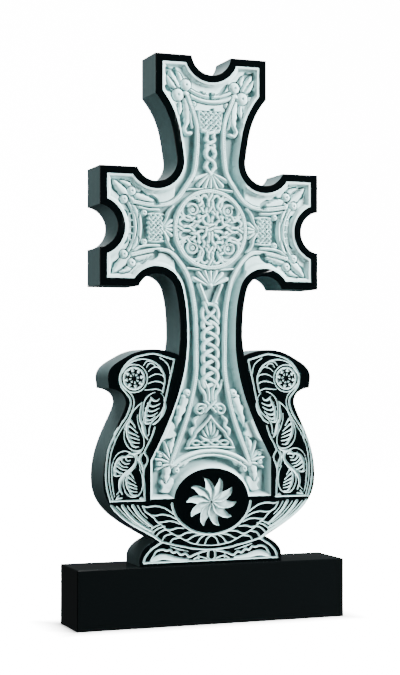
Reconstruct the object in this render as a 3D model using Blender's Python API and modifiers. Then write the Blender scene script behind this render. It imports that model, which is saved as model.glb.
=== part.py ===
"""Carved memorial cross on a low plinth, as two closed stone solids.

The stele is one slab: a notched cross with a recessed, carved field, a bowl-shaped body with two
hooked wings beside the shaft, and a half-round foot. Its front faces -Y and +Z is up. The origin is
the middle of the plinth's underside. All lengths are in metres.
"""
import math

import bmesh
import bpy
import numpy as np
from mathutils import Matrix

# Overall sizes
STELE_HEIGHT = 1.200
ARM_SPAN = 0.554
TOP_WIDTH = 0.282
BODY_WIDTH = 0.536
FOOT_WIDTH = 0.359
SLAB_THICKNESS = 0.100
PLINTH_WIDTH = 0.670
PLINTH_DEPTH = 0.140
PLINTH_HEIGHT = 0.140
PLINTH_EDGE = 0.0015
SEAT_GAP = 0.0003

# The three notches in the ends of the arms
NOTCH_WIDTH = 0.100
NOTCH_DEPTH = 0.044

# The recessed field of the cross and its polished border
BORDER = 0.018
FIELD_DEPTH = 0.017
FIELD_BEVEL = 0.011

# Shallow line carving of the wings, the base band and the rosette
LINE_HALF_WIDTH = 0.0030
LINE_DEPTH = 0.0040
PETAL_DEPTH = 0.0055

# The drawing unit: a millimetre on a stele of the height drawn
DRAWN_HEIGHT = 1200.0
UNIT = STELE_HEIGHT / DRAWN_HEIGHT

# Heights above the foot and other places, in drawing units
CROSS_CENTRE = 789.0
ARM_TOP = 929.5
ARM_BOTTOM = 651.0
SHOULDER = 1105.5
SCOOP_UP = (138.0, 950.0, 51.5)
SCOOP_LOW = (137.0, 633.0, 48.0)
SHAFT_HALF = 79.0
SHAFT_FOOT = 530.0
WING_ROOT = (83.5, 491.0)
FIELD_FOOT = 155.0
FIELD_FOOT_HALF = 152.5
FIELD_KINK = 245.0
DISC_CENTRE = 149.0
DISC_HALF_WIDTH = 94.5
DISC_HALF_HEIGHT = 75.4
WHIRL_CENTRE = 144.5
WHIRL_HALF_WIDTH = 68.0
WHIRL_HALF_HEIGHT = 60.0
WHIRL_PETALS = 10

BODY_STRETCH = BODY_WIDTH / (536.0 * UNIT)
FOOT_STRETCH = FOOT_WIDTH / (359.0 * UNIT)
ARM_END = ARM_SPAN / 2 / UNIT
TOP_HALF = TOP_WIDTH / 2 / UNIT
FRONT = -SLAB_THICKNESS / 2
FLOOR = FRONT + FIELD_DEPTH
FOOT = PLINTH_HEIGHT + SEAT_GAP
PARTS = "cross_headstone"
TOOLS = "cutters"


def clear_scene():
    """Remove whatever the new file holds."""
    for item in list(bpy.data.objects):
        bpy.data.objects.remove(item, do_unlink=True)


def collection(name):
    """A collection of that name, linked to the scene."""
    found = bpy.data.collections.get(name)
    if found is None:
        found = bpy.data.collections.new(name)
        bpy.context.scene.collection.children.link(found)
    return found


def material(name, colour, roughness, metallic=0.0):
    """A plain Principled material."""
    made = bpy.data.materials.new(name)
    made.use_nodes = True
    shader = made.node_tree.nodes["Principled BSDF"]
    shader.inputs["Base Color"].default_value = (*colour, 1.0)
    shader.inputs["Roughness"].default_value = roughness
    shader.inputs["Metallic"].default_value = metallic
    return made


def arc(centre, radii, start, end, count):
    """Points on an ellipse about centre, from start to end degrees."""
    turn = np.radians(np.linspace(start, end, count))
    return [(centre[0] + radii[0] * math.cos(a), centre[1] + radii[1] * math.sin(a)) for a in turn]


def bezier(first, pull_a, pull_b, last, count):
    """Points on a cubic curve between first and last."""
    t = np.linspace(0.0, 1.0, count)[:, None]
    ends = np.array([first, pull_a, pull_b, last], dtype=float)
    curve = ((1 - t) ** 3 * ends[0] + 3 * t * (1 - t) ** 2 * ends[1]
             + 3 * t ** 2 * (1 - t) * ends[2] + t ** 3 * ends[3])
    return [tuple(p) for p in curve]


def mirrored(points):
    """The same points on the other side of the centre line."""
    return [(-x, z) for x, z in points]


def whole(half):
    """A closed outline from its right half, which runs from the centre line to the centre line."""
    left = [p for p in mirrored(half) if abs(p[0]) > 1e-6]
    return half + left[::-1]


def inset(points, distance):
    """A closed clockwise outline moved inwards, with mitred corners."""
    p = np.array(points, dtype=float)
    ahead = np.roll(p, -1, axis=0) - p
    ahead /= np.linalg.norm(ahead, axis=1)[:, None]
    normal = np.column_stack([ahead[:, 1], -ahead[:, 0]])
    before = np.roll(normal, 1, axis=0)
    blend = 1.0 + np.sum(normal * before, axis=1)
    return [tuple(q) for q in p + distance * (normal + before) / blend[:, None]]


def crossing(a, b, c, d):
    """Where the lines a-b and c-d cross between their ends, or None."""
    along, across, gap = b - a, d - c, c - a
    turn = along[0] * across[1] - along[1] * across[0]
    if abs(turn) < 1e-9:
        return None
    s = (gap[0] * across[1] - gap[1] * across[0]) / turn
    t = (gap[0] * along[1] - gap[1] * along[0]) / turn
    return a + s * along if 0 <= s <= 1 and 0 <= t <= 1 else None


def trimmed(points, reach=9):
    """An outline without the small loops that an inset leaves at its sharp corners.

    A point less than a drawing unit from the one before it is left out too.
    """
    left = [np.array(p) for p in points]
    i = 0
    while i < len(left):
        for ahead in range(min(reach, len(left) - 2), 1, -1):
            corners = [left[(i + k) % len(left)] for k in (0, 1, ahead, ahead + 1)]
            meet = crossing(*corners)
            if meet is not None:
                gone = {(i + k) % len(left) for k in range(2, ahead + 1)}
                left[(i + 1) % len(left)] = meet
                left = [p for k, p in enumerate(left) if k not in gone]
                break
        i += 1
    return [tuple(p) for k, p in enumerate(left) if np.linalg.norm(p - left[k - 1]) > 1.0]


def notch(centre_on_axis, reach, count):
    """An arm end's notch, drawn about its own axis: (along, across) from one corner to the other."""
    half = NOTCH_WIDTH / 2 / UNIT
    depth = NOTCH_DEPTH / UNIT
    radius = (half ** 2 + depth ** 2) / (2 * depth)
    turn = math.degrees(math.asin(min(half / radius, 1.0)))
    middle = reach - depth + radius
    return [(middle - radius * math.cos(math.radians(a)),
             centre_on_axis + radius * math.sin(math.radians(a)))
            for a in np.linspace(turn, -turn, count)]


def notch_radius():
    """The notch's radius and how far its centre stands outside the arm's end."""
    half = NOTCH_WIDTH / 2 / UNIT
    depth = NOTCH_DEPTH / UNIT
    radius = (half ** 2 + depth ** 2) / (2 * depth)
    return radius, radius - depth


def cross_edge():
    """The right side of the cross, from the middle of the top notch down to the shaft's foot."""
    top = [(-across, along) for along, across in notch(0.0, DRAWN_HEIGHT, 13)][6:]
    x, z, r = SCOOP_UP
    arm_in = x + math.sqrt(r ** 2 - (z - ARM_TOP) ** 2)
    scoop_up = arc((x, z), (r, r), 171, 360 + math.degrees(math.asin((ARM_TOP - z) / r)), 10)
    flank = bezier((TOP_HALF, SHOULDER), (TOP_HALF - 42, 1055.8), (96.5, 1017.4), scoop_up[0], 7)
    end = notch(CROSS_CENTRE, ARM_END, 13)
    x, z, r = SCOOP_LOW
    arm_under = math.degrees(math.asin((ARM_BOTTOM - z) / r))
    scoop_low = arc((x, z), (r, r), arm_under, 165, 10)
    shaft = bezier(scoop_low[-1], (82.8, 616.4), (SHAFT_HALF, 590.0), (SHAFT_HALF, SHAFT_FOOT), 5)
    return [*top, (TOP_HALF, DRAWN_HEIGHT), *flank[:-1], *scoop_up[:-1], (arm_in, ARM_TOP),
            (ARM_END, ARM_TOP), *end, (ARM_END, ARM_BOTTOM), *scoop_low, *shaft[1:]]


def body_edge():
    """The right side of the body: wing top, hook, flank, bowl and foot."""
    top = bezier(WING_ROOT, (118, 506), (166, 512), (208, 488), 6)
    hook = bezier(top[-1], (232, 474), (258, 464), (257, 436), 6)
    tip = (254, 413)
    under = bezier(tip, (228, 410), (213.5, 398), (213.5, 378), 6)
    flank = bezier(under[-1], (219, 345), (270, 285), (268, 200), 8)
    bowl = bezier(flank[-1], (268, 130), (208, 99), (138, 59), 8)
    wing = [(x * BODY_STRETCH, z) for x, z in [*top[:-1], *hook, *under, *flank[1:], *bowl[1:-1]]]
    foot = bezier((138, 59), (156, 51), (179.6, 36), (179.5, 15), 5)
    base = [(x * FOOT_STRETCH, z) for x, z in [*foot, (179.5, 0.0)]]
    return wing + base


def stele_outline():
    """The stele's whole outline, clockwise from the middle of the top notch."""
    return whole([*cross_edge(), *body_edge()])


def field_outline():
    """The edge of the recessed field, a border's width inside the cross and then flared."""
    lined = trimmed(inset(whole([*cross_edge(), (SHAFT_HALF, 0.0)]), BORDER / UNIT))
    upper = [p for p in lined[:len(lined) // 2] if p[1] > SHAFT_FOOT + 1]
    upper[0] = (0.0, upper[0][1])
    shaft = SHAFT_HALF - BORDER / UNIT
    flare = bezier((shaft, SHAFT_FOOT), (shaft - 1, 430), (104, 335),
                   (FIELD_FOOT_HALF, FIELD_KINK), 8)
    start = math.degrees(math.asin((FIELD_FOOT - DISC_CENTRE) / DISC_HALF_HEIGHT))
    disc = arc((0.0, DISC_CENTRE), (DISC_HALF_WIDTH, DISC_HALF_HEIGHT), start, 90, 8)
    return whole([*upper, *flare, (FIELD_FOOT_HALF, FIELD_FOOT), *disc])


def flat_slab(name, outline, thickness):
    """A flat outline with an even thickness about y = 0, as a mesh object."""
    curve = bpy.data.curves.new(name, "CURVE")
    curve.dimensions = "2D"
    curve.fill_mode = "BOTH"
    curve.extrude = thickness / 2
    spline = curve.splines.new("POLY")
    spline.points.add(len(outline) - 1)
    for point, (x, z) in zip(spline.points, outline):
        point.co = (x * UNIT, z * UNIT, 0.0, 1.0)
    spline.use_cyclic_u = True
    drawn = bpy.data.objects.new(name + "_curve", curve)
    drawn.rotation_euler = (math.pi / 2, 0.0, 0.0)
    drawn.location = (0.0, 0.0, FOOT)
    collection(TOOLS).objects.link(drawn)
    return as_meshes([drawn])[0]


def as_meshes(drawn):
    """Turn curve objects into closed mesh objects with their places in their meshes."""
    bpy.context.view_layer.update()
    graph = bpy.context.evaluated_depsgraph_get()
    made = []
    for curve in drawn:
        mesh = bpy.data.meshes.new_from_object(curve.evaluated_get(graph))
        mesh.transform(curve.matrix_world)
        name = curve.name.removesuffix("_curve")
        made.append(bpy.data.objects.new(name, mesh))
        clean(mesh)
    for curve in drawn:
        bpy.data.curves.remove(curve.data)
    return made


def clean(mesh):
    """Weld a mesh and turn its faces outwards."""
    work = bmesh.new()
    work.from_mesh(mesh)
    bmesh.ops.remove_doubles(work, verts=work.verts, dist=0.00001)
    bmesh.ops.recalc_face_normals(work, faces=work.faces)
    work.to_mesh(mesh)
    work.free()


def drafted_pocket(name, outline, bevel, depth, proud=0.004):
    """A cutter lofted from an outline on the front face to a smaller one on the floor."""
    bottom = trimmed(inset(outline, bevel / UNIT))
    top = inset(bottom, -bevel * (1 + proud / depth) / UNIT)
    rings = [[(x * UNIT, y, z * UNIT + FOOT) for x, z in ring]
             for ring, y in ((top, FRONT - proud), (bottom, FRONT + depth))]
    work = bmesh.new()
    front, floor = ([work.verts.new(p) for p in ring] for ring in rings)
    work.faces.new(front)
    work.faces.new(floor[::-1])
    for i in range(len(front)):
        j = (i + 1) % len(front)
        work.faces.new((front[i], floor[i], floor[j], front[j]))
    bmesh.ops.recalc_face_normals(work, faces=work.faces)
    mesh = bpy.data.meshes.new(name)
    work.to_mesh(mesh)
    work.free()
    return bpy.data.objects.new(name, mesh)


def stroke(name, points, half_width, height, level, taper=None, closed=False):
    """The curve of a ridge or a V groove: a tube of four sides, stretched to its height.

    The points are (x, z) or (x, z, lift) in drawing units, and half_width and height are too. The
    tube's middle lies at level in y, and a lift moves a point towards the front. The taper gives
    each point's share of the width.
    """
    curve = bpy.data.curves.new(name, "CURVE")
    curve.dimensions = "3D"
    curve.twist_mode = "Z_UP"
    curve.bevel_depth = half_width * UNIT
    curve.bevel_resolution = 0
    curve.use_fill_caps = not closed
    spline = curve.splines.new("POLY")
    spline.points.add(len(points) - 1)
    spline.use_cyclic_u = closed
    stretch = height / half_width
    for i, (target, point) in enumerate(zip(spline.points, points)):
        lift = point[2] if len(point) > 2 else 0.0
        target.co = (point[0] * UNIT, point[1] * UNIT, lift * UNIT / stretch, 1.0)
        target.radius = 1.0 if taper is None else float(taper[i])
    drawn = bpy.data.objects.new(name + "_curve", curve)
    drawn.rotation_euler = (math.pi / 2, 0.0, 0.0)
    drawn.scale = (1.0, 1.0, stretch)
    drawn.location = (0.0, level, FOOT)
    collection(TOOLS).objects.link(drawn)
    return drawn


class Carver:
    """Collects the strokes of one kind and gives each its own small difference in level."""

    def __init__(self, name, level, inwards):
        self.name = name
        self.level = level
        self.step = inwards * 0.00003
        self.made = []
        self.balls = []

    def add(self, points, half_width, height, taper=None, closed=False, pair=False):
        """Carve one stroke, and its mirror image if it is one of a pair."""
        versions = [points]
        if pair:
            versions.append([(-p[0], *p[1:]) for p in points])
        for version in versions:
            count = len(self.made)
            level = self.level + self.step * (8 + count % 13)
            label = f"{self.name}_{count:03d}"
            self.made.append(stroke(label, version, half_width, height, level, taper, closed))

    def leaf(self, base, tip, bulge, half_width, height, pair=True):
        """A pointed leaf with a ridge, bowed sideways by bulge."""
        a, b = np.array(base, dtype=float), np.array(tip, dtype=float)
        side = np.array([-(b - a)[1], (b - a)[0]]) / np.linalg.norm(b - a)
        t = np.linspace(0.0, 1.0, 4 if abs(bulge) > 4 else 3)
        line = a + np.outer(t, b - a) + np.outer(4 * t * (1 - t) * bulge, side)
        share = 0.12 + 0.88 * np.sin(math.pi * t) ** 0.8
        self.add([tuple(p) for p in line], half_width, height, share, pair=pair)

    def ball(self, centre, radius, height, pair=True):
        """A round fruit, standing half out of the floor."""
        for side in (1.0, -1.0) if pair else (1.0,):
            count = len(self.made) + len(self.balls)
            mesh = bpy.data.meshes.new(f"{self.name}_ball_{count:03d}")
            work = bmesh.new()
            bmesh.ops.create_uvsphere(work, u_segments=6, v_segments=4, radius=radius * UNIT)
            work.to_mesh(mesh)
            work.free()
            level = self.level + self.step * (8 + count % 13)
            place = (side * centre[0] * UNIT, level, centre[1] * UNIT + FOOT)
            mesh.transform(Matrix.Translation(place)
                           @ Matrix.Diagonal((1.0, height / radius, 1.0, 1.0))
                           @ Matrix.Rotation(math.radians(80.0 + 3.0 * count), 4, "X"))
            self.balls.append(bpy.data.objects.new(mesh.name, mesh))

    def gather(self):
        """Put every stroke into one collection for the Boolean."""
        group = bpy.data.collections.new(self.name)
        collection(TOOLS).children.link(group)
        for made in as_meshes(self.made) + self.balls:
            group.objects.link(made)
            made.hide_render = True
            made.display_type = "WIRE"
        return group


def carve_frame(raised):
    """The ribs that run parallel to the field's edge, between the arms' corner knots."""
    upper = [(62, 1107), (47, 1075), (37, 1035), (33, 990), (37, 942), (48, 912), (70, 878),
             (95, 857), (130, 845), (193, 848)]
    lower = [(197, 724), (145, 728), (108, 718), (80, 699), (57, 670), (44, 630), (37, 560),
             (37, 440), (47, 370), (65, 312), (100, 232)]
    raised.add(upper, 5.5, 15, pair=True)
    raised.add(lower, 5.5, 15, pair=True)
    radius, outside = notch_radius()
    top = DRAWN_HEIGHT + outside
    side = ARM_END + outside
    reach = radius + 60
    raised.add(arc((0, top), (reach, reach), -119, -61, 6), 6.0, 14.5)
    reach -= 8
    raised.add(arc((side, CROSS_CENTRE), (reach, reach), 214, 146, 6), 6.0, 14.5, pair=True)
    raised.add(arc((0, DISC_CENTRE), (137, 115), 136, 44, 7), 6.5, 14.5)


def carve_medallion(raised):
    """The ring at the crossing with its interlace: loops on the axes and in the quarters."""
    centre = (0.0, CROSS_CENTRE)
    raised.add(arc(centre, (89, 91), 0, 337.5, 16), 5.0, 14, closed=True)
    turn = np.linspace(0.0, 2 * math.pi, 20, endpoint=False)
    for start, a, b, lift in ((0.0, 42.0, 34.0, 0.0), (math.pi / 4, 44.0, 36.0, 0.7)):
        x = a * np.cos(turn + start) + b * np.cos(3 * turn - start)
        z = a * np.sin(turn + start) - b * np.sin(3 * turn - start)
        wave = lift + 1.4 * np.sin(8 * turn + 0.4)
        line = [(px, CROSS_CENTRE + pz, up) for px, pz, up in zip(x, z, wave)]
        raised.add(line, 3.6, 11.5, closed=True)
    for up in (1, -1):
        raised.ball((45, CROSS_CENTRE + 44 * up), 8.5, 11)


def carve_fans(raised):
    """The four fans around the medallion."""
    for up in (1, -1):
        for angle in range(-60, 61, 30):
            turn = math.radians(angle)
            foot = (math.sin(turn) * 7, CROSS_CENTRE + up * (131 - math.cos(turn) * 7))
            tip = (math.sin(turn) * 40, CROSS_CENTRE + up * (131 - math.cos(turn) * 33))
            raised.leaf(foot, tip, 0.0, 4.4, 12, pair=False)
    for angle in (-45, -15, 15, 45):
        turn = math.radians(angle)
        foot = (130, CROSS_CENTRE + math.sin(turn) * 12)
        tip = (130 - math.cos(turn) * 25, CROSS_CENTRE + math.sin(turn) * 38)
        raised.leaf(foot, tip, 0.0, 3.4, 12)


def carve_basket(raised, centre, half, pair):
    """A small woven block: diagonal strands in two directions, one set above the other."""
    step = 18.0
    reach = half[0] + half[1]
    for way, height in ((1, 11.0), (-1, 12.3)):
        for shift in np.arange(-reach + step * 0.7, reach - step * 0.3, step):
            low = max(-half[0], -half[1] + shift)
            high = min(half[0], half[1] + shift)
            if high - low < step * 0.6:
                continue
            ends = [(centre[0] + way * x, centre[1] + (x - shift)) for x in (low, high)]
            raised.add(ends, 3.0, height, pair=pair)


def carve_shaft(raised):
    """Fan stem, knot and the four-strand plait of the shaft, and the chain of the top arm."""
    raised.add([(27, 655), (17, 632), (9, 612)], 6.0, 14, pair=True)
    raised.add(arc((0, 588), (21, 23), 0, 320, 9), 4.6, 13, closed=True)
    raised.add([(-15, 575), (15, 601)], 3.6, 12.2)
    raised.add([(-15, 601), (15, 575)], 3.6, 11.2)
    levels = np.linspace(562, 424, 13)
    for k in range(3):
        wave = (562 - levels) / 36.0 * math.pi + k * math.pi * 2 / 3
        line = [(20 * math.sin(w), z, 1.1 * k) for w, z in zip(wave, levels)]
        raised.add(line, 4.0, 11.5)
    chain = np.linspace(1020, 932, 7)
    for k in range(2):
        line = [(15 * math.sin((1020 - z) / 29.3 * math.pi + k * math.pi), z, 0.8 * k) for z in chain]
        raised.add(line, 3.8, 11.8)
    raised.leaf((24, 1022), (20, 935), 3.0, 4.0, 11.5)


def carve_palmette(raised):
    """The tall leaf in its arch at the foot of the shaft, with two volutes above."""
    raised.add([(5, 425), (5, 385), (13, 347), (33, 313), (47, 276)], 4.4, 13, pair=True)
    turn = np.linspace(0.0, 1.6 * math.pi, 6)
    coil = [(23 + (14 - 1.6 * t) * math.cos(2.6 - t), 363 + (14 - 1.6 * t) * math.sin(2.6 - t))
            for t in turn]
    raised.add(coil, 3.6, 12, pair=True)
    raised.leaf((0, 284), (0, 336), 0.0, 8.0, 12.6, pair=False)
    raised.leaf((8, 284), (22, 322), -4.0, 4.2, 11.8)


def carve_corners(raised):
    """Fruit and leaves in the corners of the arms and at the foot of the field."""
    raised.leaf((79, 1123), (107, 1161), -2.0, 11.0, 13.5)
    raised.ball((83, 1103), 12.0, 13)
    raised.ball((58, 1128), 10.5, 12.5)
    raised.leaf((63, 1104), (62, 1020), -17.0, 9.0, 13.5)
    inner = ARM_END - 277.0
    for up in (1, -1):
        def at(x, z, way=up):
            return (inner + x, CROSS_CENTRE + way * z)
        raised.leaf(at(205, 69), at(243, 108), -2.0 * up, 10.0, 13.5)
        raised.ball(at(216, 63), 10.0, 12.5)
        raised.ball(at(197, 84), 10.5, 12.5)
        raised.leaf(at(186, 70), at(126, 57), 1.5 * up, 7.0, 13)
        raised.ball(at(166, 37), 7.0, 11)
    raised.leaf((104, 228), (126, 190), 2.0, 9.0, 13)
    raised.ball((86, 221), 8.5, 11.5)
    raised.leaf((52, 398), (76, 328), 5.0, 6.5, 12.5)
    raised.leaf((84, 322), (104, 282), 4.0, 6.5, 12.5)


def body(points):
    """Points of the wings and the base, stretched to the body's width."""
    return [(x * BODY_STRETCH, *rest) for x, *rest in points]


def carve_wings(grooves):
    """The line carving of the wings: outer lines, round boss, scales, scroll and leaves."""
    wide = LINE_HALF_WIDTH / UNIT
    deep = LINE_DEPTH / UNIT

    def line(points, width=wide, closed=False):
        grooves.add(body(points), width, deep, closed=closed, pair=True)

    line([(95, 479), (136, 492), (171, 490), (208, 473), (227, 445), (224, 417), (204, 391),
          (204, 366), (244, 297), (259, 249), (261, 203), (250, 152)], wide * 1.2)
    line([(95, 474), (104, 438), (124, 352), (143, 330)])
    line([(143, 318), (168, 263), (168, 152)])
    line([(103, 447), (114, 473), (131, 485)])
    line([(122, 402), (117, 431), (129, 463), (167, 480)])
    line(arc((193, 436), (31, 31), 0, 324, 10), closed=True)
    for angle in range(20, 200, 45):
        turn = math.radians(angle)
        ends = [(193 + r * math.cos(turn), 436 + r * math.sin(turn)) for r in (-23, 23)]
        line(ends)
    for low, high in ((434, 458), (419, 444), (404, 427)):
        line([(158, high - 15), (138, high), (121, low)])
    line([(128, 401), (156, 397), (171, 363), (163, 331)])
    line([(121, 400), (120, 375), (151, 333), (162, 301)])
    line([(185, 382), (208, 345), (217, 303), (200, 272), (177, 270), (170, 295), (186, 345)])
    line([(246, 180), (243, 247), (222, 268), (200, 265), (188, 243), (215, 213), (228, 180)])
    line([(176, 262), (180, 222), (172, 190), (186, 163), (205, 164), (217, 185), (207, 206)])
    line([(169, 153), (240, 153)], wide * 1.1)
    for foot, tips in (((150, 375), ((138, 390), (145, 372), (153, 354))),
                       ((181, 310), ((195, 333), (204, 312), (204, 290))),
                       ((212, 232), ((222, 256), (235, 240), (238, 220))),
                       ((185, 205), ((196, 222), (204, 204), (201, 184)))):
        for tip in tips:
            grooves.add(body([foot, tip]), wide * 1.1, deep, taper=(0.5, 1.3), pair=True)


def carve_base(grooves):
    """The curved bands under the bar, the scales round the rosette and the foot's panel."""
    wide = LINE_HALF_WIDTH / UNIT
    deep = LINE_DEPTH / UNIT

    def line(points, width=wide):
        grooves.add(body(points), width, deep, pair=True)

    line([(243, 138), (210, 107), (170, 81), (129, 58)], wide * 1.3)
    line([(217, 137), (190, 106), (150, 82)], wide * 1.2)
    line([(193, 137), (170, 109), (144, 89)], wide * 1.2)
    line([(172, 138), (142, 106), (88, 67), (28, 46)])
    for ends in (((165, 137), (130, 137), (92, 116)), ((138, 117), (112, 118), (84, 104)),
                 ((122, 101), (100, 100), (76, 94)), ((106, 80), (84, 85), (60, 82)),
                 ((80, 66), (60, 74), (38, 73)), ((56, 56), (40, 66), (20, 66)),
                 ((34, 48), (22, 60), (10, 66))):
        line(ends, wide * 0.9)
    grooves.add([(-124, 57), (-65, 41), (0, 34), (65, 41), (124, 57)], wide, deep)
    disc = arc((0, DISC_CENTRE), (DISC_HALF_WIDTH - 3, DISC_HALF_HEIGHT + 3), 187, 353, 9)
    grooves.add(disc, wide * 1.1, deep)
    foot = [(-165, 9), (-156, 32), (-118, 56)]
    grooves.add(foot, wide, deep)
    grooves.add(mirrored(foot), wide, deep)
    grooves.add([(-166, 9), (166, 9)], wide, deep)
    teeth = 7
    for side in (1, -1):
        run = np.linspace(0.0, 1.0, teeth)
        z = 25 + 12 * np.sin(run * math.pi) ** 2 * (run > 0.4) + 4.5 * (np.arange(teeth) % 2)
        x = side * (12 + 132 * run)
        grooves.add([tuple(p) for p in zip(x, z)], wide * 0.9, deep)


def carve_whirl(grooves):
    """The ten-petalled whirl of the rosette: curved, pointed petals cut into the disc."""
    share = np.array([0.14, 0.45, 0.76, 1.0])
    swirl = np.radians([-44.0, -28.0, -12.0, 0.0])
    width = (0.20, 0.85, 0.85, 0.06)
    for k in range(WHIRL_PETALS):
        turn = 2 * math.pi * k / WHIRL_PETALS + swirl
        x = WHIRL_HALF_WIDTH * share * np.cos(turn)
        z = WHIRL_CENTRE + WHIRL_HALF_HEIGHT * share * np.sin(turn)
        grooves.add([tuple(p) for p in zip(x, z)], 9.5, PETAL_DEPTH / UNIT, taper=width)


def add_boolean(target, operation, operand, solver="EXACT"):
    """Add a Boolean with one object or with all of one collection."""
    tool = target.modifiers.new(operation.lower(), "BOOLEAN")
    tool.operation = operation
    tool.solver = solver
    if isinstance(operand, bpy.types.Collection):
        tool.operand_type = "COLLECTION"
        tool.collection = operand
    else:
        tool.object = operand


def make_stele(stone):
    """The carved slab: outline, recessed field, raised carving, line carving and rosette."""
    stele = flat_slab("stele", stele_outline(), SLAB_THICKNESS)
    collection(PARTS).objects.link(stele)
    stele.data.materials.append(stone)
    pocket = drafted_pocket("field_pocket", field_outline(), FIELD_BEVEL, FIELD_DEPTH)
    collection(TOOLS).objects.link(pocket)
    pocket.hide_render = True
    pocket.display_type = "WIRE"
    add_boolean(stele, "DIFFERENCE", pocket)
    raised = Carver("raised", FLOOR, 1.0)
    carve_frame(raised)
    carve_medallion(raised)
    carve_fans(raised)
    carve_basket(raised, (0.0, 1045.0), (24.0, 22.0), pair=False)
    carve_basket(raised, (141.0, CROSS_CENTRE), (17.0, 28.0), pair=True)
    carve_shaft(raised)
    carve_palmette(raised)
    carve_corners(raised)
    add_boolean(stele, "UNION", raised.gather())
    grooves = Carver("grooves", FRONT, -1.0)
    carve_wings(grooves)
    carve_base(grooves)
    carve_whirl(grooves)
    add_boolean(stele, "DIFFERENCE", grooves.gather(), solver="MANIFOLD")
    stele.parent = bpy.data.objects["headstone"]


def make_plinth(stone):
    """The plain polished block under the stele."""
    bpy.ops.mesh.primitive_cube_add(size=1.0)
    plinth = bpy.context.active_object
    plinth.name = "plinth"
    for group in list(plinth.users_collection):
        group.objects.unlink(plinth)
    collection(PARTS).objects.link(plinth)
    for vertex in plinth.data.vertices:
        vertex.co.x *= PLINTH_WIDTH
        vertex.co.y *= PLINTH_DEPTH
        vertex.co.z *= PLINTH_HEIGHT
    plinth.data.materials.append(stone)
    edge = plinth.modifiers.new("edge", "BEVEL")
    edge.width = PLINTH_EDGE
    edge.segments = 1
    plinth.parent = bpy.data.objects["headstone"]
    plinth.location.z = PLINTH_HEIGHT / 2


def main():
    """Build both stones about one empty at the middle of the underside."""
    clear_scene()
    collection(TOOLS)
    root = bpy.data.objects.new("headstone", None)
    collection(PARTS).objects.link(root)
    make_plinth(material("polished_stone", (0.004, 0.006, 0.007), 0.12))
    make_stele(material("carved_stone", (0.55, 0.66, 0.65), 0.75))


main()
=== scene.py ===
"""A carved memorial cross of black stone on a polished plinth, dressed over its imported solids.

The stele is one slab of black granite. Its front is polished, and everything that the carver cut
away shows the pale, frosted stone under the polish. All lengths in the drawing are millimetres on
a stele 1200 mm tall, measured up from the stele's foot and out from its centre line. The finished
meshes are in metres in the row frame: +Z up, the carved front towards -Y.
"""
from __future__ import annotations

import logging
import math
from collections.abc import Iterable, Sequence
from dataclasses import dataclass, field
from enum import Enum

import bpy
import numpy as np
from mathutils import Matrix, Vector


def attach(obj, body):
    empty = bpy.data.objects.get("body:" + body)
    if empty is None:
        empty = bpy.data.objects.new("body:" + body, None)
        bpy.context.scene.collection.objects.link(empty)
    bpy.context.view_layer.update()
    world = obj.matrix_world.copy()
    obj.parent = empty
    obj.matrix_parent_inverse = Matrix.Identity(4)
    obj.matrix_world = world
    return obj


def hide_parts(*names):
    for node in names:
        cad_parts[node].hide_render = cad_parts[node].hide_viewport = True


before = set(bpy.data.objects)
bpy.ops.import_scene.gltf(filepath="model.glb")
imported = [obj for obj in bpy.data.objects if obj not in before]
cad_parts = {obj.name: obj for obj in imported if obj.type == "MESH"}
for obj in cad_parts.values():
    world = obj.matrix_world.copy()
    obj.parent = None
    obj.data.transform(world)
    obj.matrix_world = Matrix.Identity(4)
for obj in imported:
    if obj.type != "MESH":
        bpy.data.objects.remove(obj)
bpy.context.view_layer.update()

LOG = logging.getLogger("headstone")
MILLIMETRE = 0.001
Points = Sequence[Sequence[float]]
Window = tuple[slice, slice]
Pair = tuple[float, float]
Triple = tuple[float, float, float]
Colour = tuple[float, float, float, float]


class Face(Enum):
    """The stele's surfaces by finish, in the order of its material slots."""

    POLISHED = 0
    SAWN = 1
    BACK = 2
    CARVED = 3


class Profile(Enum):
    """The cross-section of a raised strand or leaf."""

    ROUND = "round"
    STRAP = "strap"
    VEINED = "veined"


def cosine_bow(t: np.ndarray) -> np.ndarray:
    """A half-circle's height at t, from 1 in the middle to 0 at the edge: sqrt(1 - t squared)."""
    return np.sqrt(np.clip(1.0 - t * t, 0.0, 1.0))


def section(kind: Profile, t: np.ndarray) -> np.ndarray:
    """A strand's height across its width.

    Round is the half-circle. Strap is flat with rounded edges, sqrt(1 - t^4), less a shallow bell
    along its middle. Veined is the half-circle less a narrow, deeper bell.

    Args:
        kind: which section.
        t: distance from the strand's middle as a share of its half width.

    Returns:
        The height as a share of the strand's own height, 0 outside it.
    """
    if kind is Profile.STRAP:
        return np.clip(1.0 - t ** 4, 0.0, 1.0) ** 0.5 * (1.0 - 0.22 * np.exp(-(t / 0.28) ** 2))
    if kind is Profile.VEINED:
        return cosine_bow(t) ** 0.8 * (1.0 - 0.45 * np.exp(-(t / 0.16) ** 2))
    return cosine_bow(t)


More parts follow.
